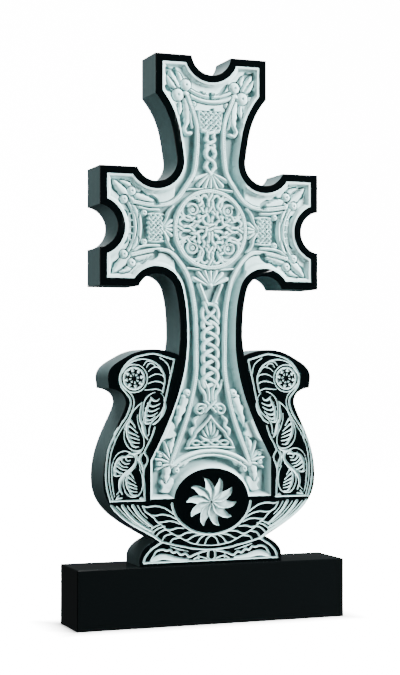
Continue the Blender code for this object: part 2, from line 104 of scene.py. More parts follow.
def smooth(points: Points, per_span: int = 6, closed: bool = False) -> np.ndarray:
    """A Catmull-Rom curve through a few chosen points.

    Between b and c the point at t is half of 2b + (c - a)t + (2a - 5b + 4c - d)t^2
    + (3b - a - 3c + d)t^3.

    Args:
        points: the chosen points, each with two or more numbers.
        per_span: steps between two chosen points.
        closed: whether the curve returns to its first point.

    Returns:
        One row for each point of the curve.
    """
    p = np.array(points, dtype=float)
    p = np.vstack([p[-1], p, p[:2]]) if closed else np.vstack([p[0], p, p[-1]])
    a, b, c, d = (p[i:len(p) - 3 + i, None, :] for i in range(4))
    t = (np.arange(per_span) / per_span)[None, :, None]
    curve = 0.5 * (2 * b + (c - a) * t + (2 * a - 5 * b + 4 * c - d) * t ** 2
                   + (3 * b - a - 3 * c + d) * t ** 3)
    curve = curve.reshape(-1, p.shape[1])
    return np.vstack([curve, curve[:1]]) if closed else np.vstack([curve, p[-1]])


def arc(centre: Sequence[float], radii: Sequence[float], start: float, end: float,
        count: int = 40) -> np.ndarray:
    """Points on an ellipse: centre + (a cos v, b sin v) for v from start to end degrees."""
    v = np.radians(np.linspace(start, end, count))
    return np.column_stack([centre[0] + radii[0] * np.cos(v), centre[1] + radii[1] * np.sin(v)])


def spiral(centre: Sequence[float], radii: Sequence[float], start: float, turns: float,
           count: int = 28) -> np.ndarray:
    """A coil whose radius falls evenly from the first to the second of radii over the turns."""
    v = np.radians(start) + np.linspace(0.0, 2 * math.pi * turns, count)
    r = np.linspace(radii[0], radii[1], count)
    return np.column_stack([centre[0] + r * np.cos(v), centre[1] + r * np.sin(v)])


def bezier(first: Sequence[float], pull_a: Sequence[float], pull_b: Sequence[float],
           last: Sequence[float], count: int = 24) -> np.ndarray:
    """A cubic curve: (1-t)^3 p0 + 3t(1-t)^2 p1 + 3t^2(1-t) p2 + t^3 p3."""
    t = np.linspace(0.0, 1.0, count)[:, None]
    p = np.array([first, pull_a, pull_b, last], dtype=float)
    return ((1 - t) ** 3 * p[0] + 3 * t * (1 - t) ** 2 * p[1] + 3 * t ** 2 * (1 - t) * p[2]
            + t ** 3 * p[3])


def mirrored(points: Points) -> np.ndarray:
    """The same points on the other side of the centre line."""
    p = np.array(points, dtype=float)
    p[:, 0] *= -1.0
    return p


def whole(half: np.ndarray) -> np.ndarray:
    """A closed outline from its right half, which runs from the centre line to the centre line."""
    left = mirrored(half)[::-1]
    return np.vstack([half, left[np.abs(left[:, 0]) > 1e-6]])


def inset(points: np.ndarray, distance: float) -> np.ndarray:
    """A closed clockwise outline moved inwards, with its corners mitred."""
    ahead = np.roll(points, -1, axis=0) - points
    ahead /= np.linalg.norm(ahead, axis=1)[:, None]
    normal = np.column_stack([ahead[:, 1], -ahead[:, 0]])
    before = np.roll(normal, 1, axis=0)
    blend = 1.0 + np.sum(normal * before, axis=1)
    return points + distance * (normal + before) / np.maximum(blend, 0.3)[:, None]


@dataclass
class Slab:
    """The stele's outline and the outline of its recessed field, in drawing millimetres."""

    height: float = 1200.0
    half_span: float = 277.0
    top_half: float = 141.0
    thickness: float = 100.0
    centre: float = 789.0
    arm_top: float = 929.5
    arm_bottom: float = 651.0
    shoulder: float = 1105.5
    scoop_up: Triple = (138.0, 950.0, 51.5)
    scoop_low: Triple = (137.0, 633.0, 48.0)
    shaft_half: float = 79.0
    shaft_foot: float = 530.0
    notch_half: float = 50.0
    notch_depth: float = 44.0
    border: float = 18.0
    field_foot: float = 155.0
    field_foot_half: float = 152.5
    field_kink: float = 245.0
    disc_centre: float = 149.0
    disc_radii: Pair = (94.5, 75.4)

    def notch_circle(self) -> Pair:
        """The notch's radius, and how far its centre stands outside the arm's end."""
        radius = (self.notch_half ** 2 + self.notch_depth ** 2) / (2 * self.notch_depth)
        return radius, radius - self.notch_depth

    def notch(self, reach: float, across: float, count: int) -> np.ndarray:
        """An arm end's notch as (along, across) points, from one corner to the other."""
        radius, outside = self.notch_circle()
        turn = math.asin(self.notch_half / radius)
        v = np.linspace(turn, -turn, count)
        return np.column_stack([reach + outside - radius * np.cos(v), across + radius * np.sin(v)])

    def cross_edge(self) -> np.ndarray:
        """The right side of the cross, from the middle of the top notch to the shaft's foot."""
        top = self.notch(self.height, 0.0, 49)[24:]
        top = np.column_stack([-top[:, 1], top[:, 0]])
        x, z, r = self.scoop_up
        arm_in = x + math.sqrt(r ** 2 - (z - self.arm_top) ** 2)
        rise = math.degrees(math.asin((self.arm_top - z) / r))
        scoop_up = arc((x, z), (r, r), 171.0, 360.0 + rise, 40)
        flank = bezier((self.top_half, self.shoulder), (self.top_half - 42, 1055.8), (96.5, 1017.4),
                       scoop_up[0], 24)
        end = self.notch(self.half_span, self.centre, 45)
        x, z, r = self.scoop_low
        under = math.degrees(math.asin((self.arm_bottom - z) / r))
        scoop_low = arc((x, z), (r, r), under, 165.0, 40)
        shaft = bezier(scoop_low[-1], (82.8, 616.4), (self.shaft_half, 590.0),
                       (self.shaft_half, self.shaft_foot), 16)
        return np.vstack([top, (self.top_half, self.height), flank[:-1], scoop_up[:-1],
                          (arm_in, self.arm_top), (self.half_span, self.arm_top), end,
                          (self.half_span, self.arm_bottom), scoop_low, shaft[1:]])

    def body_edge(self) -> np.ndarray:
        """The right side of the body: wing top, hook, flank, bowl and foot."""
        top = bezier((83.5, 491.0), (118, 506), (166, 512), (208, 488))
        hook = bezier((208, 488), (232, 474), (258, 464), (257, 436))
        under = bezier((254, 413), (228, 410), (213.5, 398), (213.5, 378))
        flank = bezier((213.5, 378), (219, 345), (270, 285), (268, 200))
        bowl = bezier((268, 200), (268, 130), (208, 99), (138, 59))
        foot = bezier((138, 59), (156, 51), (179.6, 36), (179.5, 15), 16)
        return np.vstack([top[:-1], hook, under, flank[1:], bowl[1:-1], foot, (179.5, 0.0)])

    def outline(self) -> np.ndarray:
        """The whole stele, clockwise from the middle of the top notch."""
        return whole(np.vstack([self.cross_edge(), self.body_edge()]))

    def field_edge(self) -> np.ndarray:
        """The recessed field's edge below the shaft's straight part, on the right."""
        shaft = self.shaft_half - self.border
        flare = bezier((shaft, self.shaft_foot), (shaft - 1, 430), (104, 335),
                       (self.field_foot_half, self.field_kink), 40)
        start = math.degrees(math.asin((self.field_foot - self.disc_centre) / self.disc_radii[1]))
        disc = arc((0.0, self.disc_centre), self.disc_radii, start, 90.0, 40)
        return np.vstack([flare, (self.field_foot_half, self.field_foot), disc])


class Relief:
    """The carved front as a height field on an even grid.

    raised holds the height of the carving above the field's floor. cut holds the depth of the
    line carving below the polished face and is negative where the face is left standing, so that
    its edge is where it crosses zero. shade holds how much painted shade a place gets, from 0 to 1.
    """

    OUTSIDE = -1.6
    MARGIN = 4.0
    EDGE_REACH = 4.0
    PANEL_REACH = 5.0
    TRENCH = 2.0
    TRENCH_BED = 2.5
    DRUM = 0.35
    DRILL_DEPTH = 4.5
    LEAF_MOAT = 3.0
    LEAF_BED = 1.0

    def __init__(self, slab: Slab, step: float) -> None:
        """Lay out the grid over the whole slab and a little beyond."""
        self.step = step
        reach = slab.half_span + self.MARGIN
        self.x = np.arange(-reach, reach + step, step)
        self.z = np.arange(-self.MARGIN, slab.height + self.MARGIN + step, step)
        shape = (len(self.z), len(self.x))
        self.raised = np.zeros(shape)
        self.cut = np.full(shape, self.OUTSIDE)
        self.shade = np.zeros(shape)

    def window(self, low: np.ndarray, high: np.ndarray, reach: float) -> Window:
        """The rows and columns of the grid within reach of a box."""
        rows = np.searchsorted(self.z, (low[1] - reach, high[1] + reach))
        cols = np.searchsorted(self.x, (low[0] - reach, high[0] + reach))
        return slice(rows[0], rows[1]), slice(cols[0], cols[1])

    def runs(self, path: np.ndarray, reach: np.ndarray) -> Iterable[tuple]:
        """Each straight run of a path with its window, and the places of the window's points.

        A point's share along the run is its offset's dot product with the run over the run's length
        squared. Its distance is taken to the nearest point of the run.

        Args:
            path: the path's points.
            reach: for each point, how far from the path a point of the grid still matters.

        Yields:
            The run's number, its window, the share along it, and the distance from it.
        """
        for i in range(len(path) - 1):
            a, b = path[i, :2], path[i + 1, :2]
            widest = max(reach[i], reach[i + 1])
            rows, cols = self.window(np.minimum(a, b), np.maximum(a, b), widest)
            if rows.start >= rows.stop or cols.start >= cols.stop:
                continue
            along = b - a
            length = float(along @ along)
            dx = self.x[None, cols] - a[0]
            dz = self.z[rows, None] - a[1]
            share = (dx * along[0] + dz * along[1]) / max(length, 1e-9)
            held = np.clip(share, 0.0, 1.0)
            far = np.hypot(dx - held * along[0], dz - held * along[1])
            yield i, (rows, cols), share, far

    def sides(self, points: Points, pair: bool) -> list[np.ndarray]:
        """The path, and its mirror image if it is one of a pair."""
        path = np.array(points, dtype=float)
        return [path, mirrored(path)] if pair else [path]

    @staticmethod
    def widths(count: int, half_width: float, taper: Sequence[float] | None) -> np.ndarray:
        """The half width at each of a path's points, scaled by shares spread evenly along it."""
        shares = np.ones(2) if taper is None else np.array(taper, dtype=float)
        return half_width * np.interp(np.linspace(0.0, 1.0, count),
                                      np.linspace(0.0, 1.0, len(shares)), shares)

    def strand(self, points: Points, half_width: float, height: float,
               profile: Profile = Profile.ROUND, taper: Sequence[float] | None = None,
               pair: bool = False, moat: float = 0.0, bed: float = 0.0) -> None:
        """Raise a strand along a path: height times the profile of distance over half width.

        Args:
            points: (x, z), with a third number where the strand's height is scaled along it.
            half_width: half the strand's width.
            height: its height above the floor.
            profile: its section.
            taper: shares of the half width, spread evenly along the path.
            pair: whether its mirror image is carved too.
            moat: how wide a trench is first sunk beside it.
            bed: the level that the trench is sunk to.
        """
        for path in self.sides(points, pair):
            wide = self.widths(len(path), half_width, taper)
            tall = height * (path[:, 2] if path.shape[1] > 2 else np.ones(len(path)))
            if moat > 0.0:
                for i, spot, share, far in self.runs(path, wide + moat):
                    near = (share > 0.0) & (share < 1.0) & (far < wide[i] + moat)
                    part = self.raised[spot]
                    part[near] = np.minimum(part[near], bed)
            for i, spot, share, far in self.runs(path, wide):
                held = np.clip(share, 0.0, 1.0)
                half = wide[i] + (wide[i + 1] - wide[i]) * held
                top = tall[i] + (tall[i + 1] - tall[i]) * held
                level = top * section(profile, far / np.maximum(half, 0.05))
                part = self.raised[spot]
                np.maximum(part, np.where(far < half, level, 0.0), out=part)

    def line(self, points: Points, half_width: float, depth: float = 2.6, slope: float = 1.4,
             taper: Sequence[float] | None = None, pair: bool = False,
             target: np.ndarray | None = None) -> None:
        """Cut a line into the face: the lesser of depth and slope times (half width - distance)."""
        layer = self.cut if target is None else target
        for path in self.sides(points, pair):
            wide = self.widths(len(path), half_width, taper)
            for i, spot, share, far in self.runs(path, wide - self.OUTSIDE / slope):
                half = wide[i] + (wide[i + 1] - wide[i]) * np.clip(share, 0.0, 1.0)
                part = layer[spot]
                np.maximum(part, np.minimum(depth, slope * (half - far)), out=part)

    def inside(self, outline: np.ndarray, spot: Window) -> np.ndarray:
        """Which points of a window lie inside an outline, by counting the edges to their right."""
        rows, cols = spot
        x, z = self.x[None, cols], self.z[rows, None]
        found = np.zeros((z.shape[0], x.shape[1]), dtype=bool)
        for a, b in zip(outline, np.roll(outline, -1, axis=0)):
            if a[1] == b[1]:
                continue
            crossed = (z[:, 0] >= min(a[1], b[1])) & (z[:, 0] < max(a[1], b[1]))
            meet = a[0] + (z[crossed, 0] - a[1]) * (b[0] - a[0]) / (b[1] - a[1])
            found[crossed] ^= x < meet[:, None]
        return found

    def depth_inside(self, outline: np.ndarray, reach: float) -> tuple[Window, np.ndarray]:
        """The signed distance to an outline, positive inside, held to the reach."""
        spot = self.window(outline.min(axis=0), outline.max(axis=0), reach)
        nearest = np.full(self.cut.shape, reach)
        closed = np.vstack([outline, outline[:1]])
        for _, part, _, far in self.runs(closed, np.full(len(closed), reach)):
            np.minimum(nearest[part], far, out=nearest[part])
        return spot, nearest[spot] * np.where(self.inside(outline, spot), 1.0, -1.0)

    def panel(self, outline: Points, depth: float = 2.4, slope: float = 1.4, pair: bool = False,
              islands: np.ndarray | None = None) -> None:
        """Sink a whole panel into the face, leaving any islands standing in it."""
        for edge in self.sides(outline, pair):
            spot, far = self.depth_inside(edge, self.PANEL_REACH)
            sunk = np.minimum(depth, slope * far)
            if islands is not None:
                sunk = np.minimum(sunk, -islands[spot])
            np.maximum(self.cut[spot], sunk, out=self.cut[spot])

    def ball(self, centre: Sequence[float], radius: float, height: float, drilled: float = 0.0,
             pair: bool = True) -> None:
        """A round fruit, with a dome of sqrt(1 - (r/R)^2) on a low drum.

        Args:
            centre: its middle.
            radius: its radius.
            height: its height above the floor.
            drilled: the radius of the hole in its middle. A drilled fruit stands in a trench.
            pair: whether its mirror image is carved too.
        """
        for side in (1.0, -1.0) if pair else (1.0,):
            middle = np.array([side * centre[0], centre[1]])
            spot = self.window(middle, middle, radius + self.TRENCH)
            r = np.hypot(self.x[None, spot[1]] - middle[0], self.z[spot[0], None] - middle[1])
            part, near = self.raised[spot], r < radius
            dome = cosine_bow(np.minimum(r / radius, 1.0))
            dome = height * (self.DRUM * near + (1.0 - self.DRUM) * dome)
            if drilled > 0.0:
                around = r < radius + self.TRENCH
                part[around] = np.minimum(part[around], self.TRENCH_BED)
                hole = self.DRILL_DEPTH * np.clip(1.4 - r / drilled, 0.0, 1.0)
                part[near] = (dome - hole)[near]
            else:
                part[near] = np.maximum(part, dome)[near]

    def leaf(self, base: Sequence[float], tip: Sequence[float], bulge: float, half_width: float,
             height: float, teeth: int = 0, bite: float = 0.26, pair: bool = True) -> None:
        """A pointed, veined leaf bowed sideways, with teeth bitten out along its edges.

        At t along the leaf its width is 0.10 + 0.90 sin(pi t^0.8)^0.75 of the whole, less the bite,
        which grows along each tooth, and its middle line bows out by 4t(1 - t) of the bulge.
        """
        a, b = np.array(base, dtype=float), np.array(tip, dtype=float)
        t = np.linspace(0.0, 1.0, 40)
        side = np.array([-(b - a)[1], (b - a)[0]]) / np.linalg.norm(b - a)
        path = a + np.outer(t, b - a) + np.outer(4 * t * (1 - t) * bulge, side)
        share = 0.10 + 0.90 * np.sin(math.pi * t ** 0.8) ** 0.75
        if teeth:
            share *= 1.0 - bite * ((t * teeth) % 1.0)
        self.strand(path, half_width, height, Profile.VEINED, share, pair, self.LEAF_MOAT,
                    self.LEAF_BED)

    def steep(self, outline: Points, pair: bool) -> Iterable[tuple[np.ndarray, np.ndarray]]:
        """The raised part round a smooth outline, and the distance inside it, on each side."""
        for edge in self.sides(outline, pair):
            spot, far = self.depth_inside(smooth(edge, 4, closed=True), self.EDGE_REACH)
            yield self.raised[spot], far

    def plateau(self, outline: Points, level: float) -> None:
        """Raise flat ground with steep sides, and its mirror image."""
        for part, far in self.steep(outline, True):
            np.maximum(part, np.minimum(level, 4.0 * far), out=part)

    def pit(self, outline: Points, pair: bool = False) -> None:
        """Sink a small hole with steep sides down to the floor."""
        for part, far in self.steep(outline, pair):
            np.minimum(part, np.where(far > 0.0, np.maximum(0.0, 9.0 - 5.0 * far), 99.0), out=part)


def crossings(strands: Sequence[np.ndarray]) -> list[tuple[int, float, int, float]]:
    """Where the strands cross each other or themselves.

    Two runs p + s u and q + t v cross where s = (q - p) x v / (u x v) and t = (q - p) x u / (u x v)
    both lie between 0 and 1.

    Args:
        strands: the paths.

    Returns:
        For each crossing, the first strand and the place along it, and the second and its place.
    """
    found = []
    for i, first in enumerate(strands):
        for j, second in enumerate(strands[i:], i):
            p, u = first[:-1, None, :2], np.diff(first[:, :2], axis=0)[:, None]
            q, v = second[None, :-1, :2], np.diff(second[:, :2], axis=0)[None]
            turn = u[..., 0] * v[..., 1] - u[..., 1] * v[..., 0]
            turn = np.where(np.abs(turn) < 1e-9, np.inf, turn)
            gap = q - p
            s = (gap[..., 0] * v[..., 1] - gap[..., 1] * v[..., 0]) / turn
            t = (gap[..., 0] * u[..., 1] - gap[..., 1] * u[..., 0]) / turn
            a, b = np.nonzero((s > 0) & (s <= 1) & (t > 0) & (t <= 1))
            for m, n in zip(a, b):
                if i != j or n > m + 2 and not (m == 0 and n == len(second) - 2):
                    found.append((i, m + s[m, n], j, n + t[m, n]))
    return found


def over_and_under(strands: Sequence[np.ndarray], met: list[tuple]) -> list[bool]:
    """Choose the upper strand at each crossing, so that each goes over and under in turn."""
    stops: list[list[tuple[float, int, bool]]] = [[] for _ in strands]
    for k, (i, s, j, t) in enumerate(met):
        stops[i].append((s, k, True))
        stops[j].append((t, k, False))
    ties: list[list[tuple[int, bool]]] = [[] for _ in met]
    for stop in stops:
        stop.sort()
        for (_, k, first), (_, n, second) in zip(stop, stop[1:]):
            ties[k].append((n, first == second))
            ties[n].append((k, first == second))
    top: dict[int, bool] = {}
    for start in range(len(met)):
        queue = [] if start in top else [start]
        top.setdefault(start, True)
        while queue:
            k = queue.pop()
            for n, same in ties[k]:
                if n not in top:
                    top[n] = (not top[k]) if same else top[k]
                    queue.append(n)
    return [top[k] for k in range(len(met))]


def weave(relief: Relief, strands: Sequence[Points], half_width: float, height: float,
          profile: Profile = Profile.STRAP, dip: float = 0.62, gap: float = 1.6) -> None:
    """Carve strands that pass over and under each other in turn.

    Each strand is carved whole, then at each crossing the upper one is carved again over a trench.

    Args:
        relief: the height field.
        strands: the paths.
        half_width: half a strand's width.
        height: a strand's height above the floor.
        profile: a strand's section.
        dip: how low the trench goes, as a share of the height.
        gap: the trench's width on each side.
    """
    paths = [np.array(s, dtype=float) for s in strands]
    for path in paths:
        relief.strand(path, half_width, height, profile)
    met = crossings(paths)
    for (i, s, j, t), first_on_top in zip(met, over_and_under(paths, met)):
        path, place = (paths[i], s) if first_on_top else (paths[j], t)
        pace = np.hypot(*np.diff(path[:, :2], axis=0).T)
        run = np.concatenate([[0.0], np.cumsum(pace)])
        middle = np.interp(place, np.arange(len(run)), run)
        spots = np.clip(middle + np.linspace(-1.0, 1.0, 7) * (half_width + gap + 0.6), 0.0, run[-1])
        piece = np.column_stack([np.interp(spots, run, path[:, k]) for k in (0, 1)])
        piece = np.column_stack([piece, 1.0 + 0.10 * cosine_bow(np.linspace(-1.0, 1.0, 7))])
        relief.strand(piece, half_width, height, profile, moat=gap, bed=height * dip)


# Holes in the top arm's ground and, measured from the crossing, in the side arms' ground.
TOP_PITS = (
    ((20, 1110), (26, 1123), (36, 1135), (48, 1141), (45, 1129), (36, 1117), (28, 1110)),
    ((-4, 1099), (6, 1099), (6, 1116), (-4, 1115)),
    ((-28, 1118), (-17, 1118), (-20, 1108)),
    ((-4, 1075), (10, 1080), (10, 1071)))
ARM_PITS = (
    ((126, 58), (134, 67), (144, 63), (142, 53), (133, 52)),
    ((206, 20), (210, 30), (217, 40), (210, 41), (204, 32)))
TOP_HOLLOWS = (
    ((64, 1122), (82, 1110), (102, 1130), (110, 1146), (118, 1156), (114, 1171), (98, 1168),
     (90, 1172), (80, 1158), (70, 1152), (66, 1140)),
    ((52, 1098), (70, 1100), (82, 1082), (86, 1064), (80, 1052), (84, 1040), (74, 1022),
     (58, 1008), (46, 1012), (49, 1040), (53, 1066)),
    ((92, 1102), (100, 1110), (112, 1112), (118, 1122), (110, 1130), (98, 1120)))
ARM_HOLLOWS = (
    ((203, 62), (222, 64), (232, 76), (244, 84), (247, 98), (250, 110), (238, 112), (228, 110),
     (222, 114), (208, 100), (194, 92), (190, 82)),
    ((192, 86), (178, 84), (170, 88), (156, 78), (146, 78), (130, 68), (130, 56), (150, 54),
     (172, 58), (190, 66)))
UPPER_RIB = (
    (60, 1107), (47, 1075), (38, 1050), (34, 1030), (33, 1000), (35, 965), (40, 928), (48, 910),
    (60, 892), (78, 866), (98, 850), (118, 843), (150, 842), (193, 848))
LOWER_RIB = (
    (196, 724), (160, 733), (130, 737), (108, 735), (92, 725), (78, 710), (67, 695), (57, 676),
    (50, 655), (44, 628), (39, 592), (37, 560), (36, 500), (36, 460), (39, 430), (45, 400),
    (57, 350), (75, 300), (90, 262), (100, 234))
# The medallion's strands in one eighth of it, from its middle.
MEDALLION = (
    ((-3.5, -8), (3.5, 8), (4.5, 26), (12, 40), (5, 56), (6, 72), (16, 79), (24, 70), (19, 54),
     (27, 42), (42, 34)),
    ((10, -4), (13, 12), (21, 22), (16, 36), (26, 52), (31, 68), (44, 72), (58, 66)),
    ((33, 78), (22, 62), (34, 50), (30, 32), (18, 30), (6, 40), (-6, 60), (4, 82)))
# Leaves as base, tip, bow, half width, height, teeth and bite; fruit as centre, radius, height
# and drilled radius. Those of the side arms are measured from the crossing.
TOP_LEAVES = (
    ((80, 1122), (104, 1162), -2.0, 10.0, 14.4, 4),
    ((76, 1132), (86, 1160), 3.0, 7.0, 13.8, 3),
    ((88, 1120), (110, 1150), -3.0, 7.0, 13.4, 3),
    ((66, 1096), (64, 1030), -8.0, 13.5, 13.0, 4, 0.4),
    ((78, 1088), (80, 1056), -2.0, 7.0, 12.6, 2, 0.4))
TOP_FRUIT = (
    ((82, 1105), 15.0, 14.0, 2.8),
    ((62, 1130), 13.6, 13.8, 2.6),
    ((42, 1086), 6.5, 12.0, 1.8),
    ((63, 1108), 7.5, 14.4))
ARM_LEAVES = (
    ((202, 68), (243, 108), -2.0, 11.0, 14.4, 5),
    ((192, 76), (228, 106), 8.0, 7.0, 13.4, 4),
    ((190, 76), (140, 62), 3.0, 11.0, 13.2, 5, 0.5),
    ((196, 52), (184, 20), -4.0, 5.5, 12.4, 4))
ARM_FRUIT = (
    ((216, 64), 10.2, 13.6, 2.5),
    ((197, 84), 10.6, 13.6, 2.5),
    ((166, 34), 7.6, 12.4, 2.0),
    ((194, 61), 7.0, 14.2))
FOOT_PLATEAUS = (
    ((106, 338), (92, 331), (86, 322), (91, 314), (85, 305), (89, 297), (99, 293), (112, 293),
     (132, 284), (124, 302), (114, 322)),
    ((122, 202), (110, 198), (98, 203), (90, 196), (96, 180), (106, 166), (126, 170), (121, 182),
     (128, 192)))
FOOT_LEAVES = (
    ((54, 404), (86, 322), 3.0, 13.0, 13.0, 4, 0.55),
    ((92, 296), (102, 250), 4.0, 9.0, 13.0, 3, 0.5),
    ((104, 236), (112, 190), 3.0, 12.0, 13.0, 3, 0.5),
    ((94, 230), (56, 240), 3.0, 8.0, 12.6, 3, 0.5))
FOOT_FINGERS = (
    ((101, 240), (108, 262), (116, 286)),
    ((104, 243), (118, 256), (133, 264)),
    ((106, 239), (122, 244), (137, 247)),
    ((106, 234), (122, 230), (136, 222)))
FOOT_FRUIT = (
    ((86, 220), 8.8, 13.2, 2.4),
    ((126, 256), 6.0, 13.2, 2.4),
    ((76, 233), 5.5, 13.2, 2.4),
    ((128, 236), 6.5, 13.2, 2.4),
    ((100, 235), 8.0, 14.4),
    ((58, 400), 10.0, 13.6, 2.0),
    ((68, 392), 6.0, 12.6))


@dataclass
class CrossField:
    """The recessed field's carving: frame, medallion, fans, baskets, plait, palmette, fruit."""

    slab: Slab
    depth: float = 17.0
    slope_width: float = 12.0
    rib: float = 14.2
    ground: float = 6.5
    neck: float = 96.0
    terrace_foot: float = 640.0
    knot_foot: float = 1070.0
    rim: float = 12.0
    thread: float = 12.6
    plait: float = 12.8
    stem: float = 13.2

    def level(self, points: Points, up: float) -> list[Pair]:
        """Points measured from the crossing, set above it or, where up is -1, below it."""
        return [(x, self.slab.centre + up * z) for x, z in points]

    def within(self, relief: Relief) -> np.ndarray:
        """The distance inside the field's edge, negative outside it.

        Above the shaft's foot it is the distance inside the cross less the border. Below, it is
        the distance inside the flare and the arch over the disc, drawn on up to meet the shaft.
        """
        slab, reach = self.slab, 24.0
        cross = whole(np.vstack([slab.cross_edge(), (slab.shaft_half, 0.0)]))
        lower = slab.field_edge()
        lower = whole(np.vstack([(0.0, 700.0), (lower[0, 0], 700.0), lower]))
        far = np.full(relief.cut.shape, -reach)
        spot, depth = relief.depth_inside(cross, reach + slab.border)
        far[spot] = np.where(relief.z[spot[0], None] > slab.shaft_foot, depth - slab.border, -reach)
        spot, depth = relief.depth_inside(lower, reach)
        far[spot] = np.maximum(far[spot], depth)
        return far

    def carve(self, relief: Relief) -> np.ndarray:
        """Carve everything in the field.

        Args:
            relief: the height field, whose raised part is filled.

        Returns:
            The field's own depth below the face, negative outside it.
        """
        ease = np.clip(self.within(relief) / self.slope_width, -1.0, 1.0)
        for part in (self.terrace, self.arm_ends, self.baskets, self.shaft, self.palmette,
                     self.fans, self.medallion, self.top_corners, self.arm_corners,
                     self.foot_corners, self.frame_ribs, self.pits):
            part(relief)
        return np.maximum(Relief.OUTSIDE, self.depth * ease)

    def holes(self, relief: Relief, outlines: Sequence[Points]) -> None:
        """Sink holes measured from the crossing in all four corners of the side arms."""
        for up in (1, -1):
            for hole in outlines:
                relief.pit(self.level(hole, up), pair=True)

    def pits(self, relief: Relief) -> None:
        """The small holes sunk through the higher ground."""
        for hole in TOP_PITS:
            relief.pit(hole)
        self.holes(relief, ARM_PITS)

    def terrace(self, relief: Relief) -> None:
        """The higher ground outside the ribs of the three arms and under the top knots.

        It starts outside the ribs, at |x| + 0.10 |z - crossing| past the neck's measure, and above
        the terrace's foot, and it covers everything above the foot of the top knots.
        """
        upper, lower = smooth(UPPER_RIB), smooth(LOWER_RIB)
        spot, far = relief.depth_inside(whole(np.vstack([(0, 1107), upper, lower, (0, 234)])), 20.0)
        outer = np.ones(relief.raised.shape)
        outer[spot] = np.clip(-far / 3.0, 0.0, 1.0)
        z = relief.z[:, None]
        out = np.abs(relief.x[None, :]) + 0.10 * np.abs(z - self.slab.centre)
        outer *= np.clip((out - self.neck) / 3.0, 0.0, 1.0)
        outer = np.maximum(outer * np.clip((z - self.terrace_foot) / 12.0, 0.0, 1.0),
                           np.clip((z - self.knot_foot) / 2.0, 0.0, 1.0))
        relief.raised[:] = self.ground * outer
        for hole in TOP_HOLLOWS:
            relief.pit(hole, pair=True)
        self.holes(relief, ARM_HOLLOWS)

    def frame_ribs(self, relief: Relief) -> None:
        """The ribs that follow the field's edge from one corner knot to the next."""
        for path in (UPPER_RIB, LOWER_RIB):
            relief.strand(smooth(path), 5.2, self.rib, Profile.STRAP, pair=True, moat=2.4, bed=1.0)
        for offset, width in ((137.0, 6.0), (125.0, 3.8)):
            arch = arc((0, self.slab.disc_centre), (offset, offset * 0.84), 136, 44)
            relief.strand(arch, width, self.rib - 1.2)
        relief.strand([(-60, 271), (0, 274), (60, 271)], 3.0, self.rim)

    def arm_ends(self, relief: Relief) -> None:
        """The twin arcs that run round each notch, and the small triangles between them."""
        radius, outside = self.slab.notch_circle()
        top = (0.0, self.slab.height + outside)
        side = (self.slab.half_span + outside, self.slab.centre)
        arcs = {"height": self.rib - 0.6, "moat": 2.2, "bed": 0.5}
        for reach, width in ((51.5, 4.2), (63.5, 5.4)):
            r = radius + reach
            relief.strand(arc(top, (r, r), -124, -56), width, **arcs)
            r -= 6.5
            relief.strand(arc(side, (r, r), 217, 143), width, pair=True, **arcs)
        for middle, angles, reaches in ((top, (-104, -97, -90, -83, -76), (92, 104)),
                                        (side, (160, 170, 180, 190, 200), (84, 97))):
            for angle in angles:
                v = math.radians(angle)
                ends = [(middle[0] + r * math.cos(v), middle[1] + r * math.sin(v)) for r in reaches]
                relief.strand(ends, 3.0, 10.5, taper=(0.4, 1.2), pair=middle is side)

    def baskets(self, relief: Relief) -> None:
        """The woven blocks below the top notch and inside each side notch, and their rims."""
        self.basket(relief, (0.0, 1046.0), (25.0, 22.0), 4)
        for side in (1.0, -1.0):
            self.basket(relief, (side * 139.0, self.slab.centre), (17.0, 29.0), 3)
        for rim in ([(29, 1070), (27, 1046), (21, 1022)],
                    self.level([(119, 31), (139, 33), (159, 31)], 1),
                    self.level([(119, 31), (139, 33), (159, 31)], -1)):
            relief.strand(smooth(rim), 2.6, self.rim, pair=True)

    def basket(self, relief: Relief, centre: Pair, half: Pair, count: int) -> None:
        """A woven block: zigzag strands that turn at its edges, over and under each other."""
        wide, tall = half
        pitch = 2.0 * wide / count
        strands = []
        for k in range(2 * count):
            z = np.linspace(-tall, tall, 40)
            phase = (z + tall) / pitch + k
            fold = np.abs((phase + 0.5) % (2 * count) - count)
            x = (fold / count * 2.0 - 1.0) * wide
            strands.append(np.column_stack([centre[0] + x, centre[1] + z]))
        weave(relief, strands, pitch * 0.27, self.thread, Profile.ROUND, dip=0.55, gap=1.0)

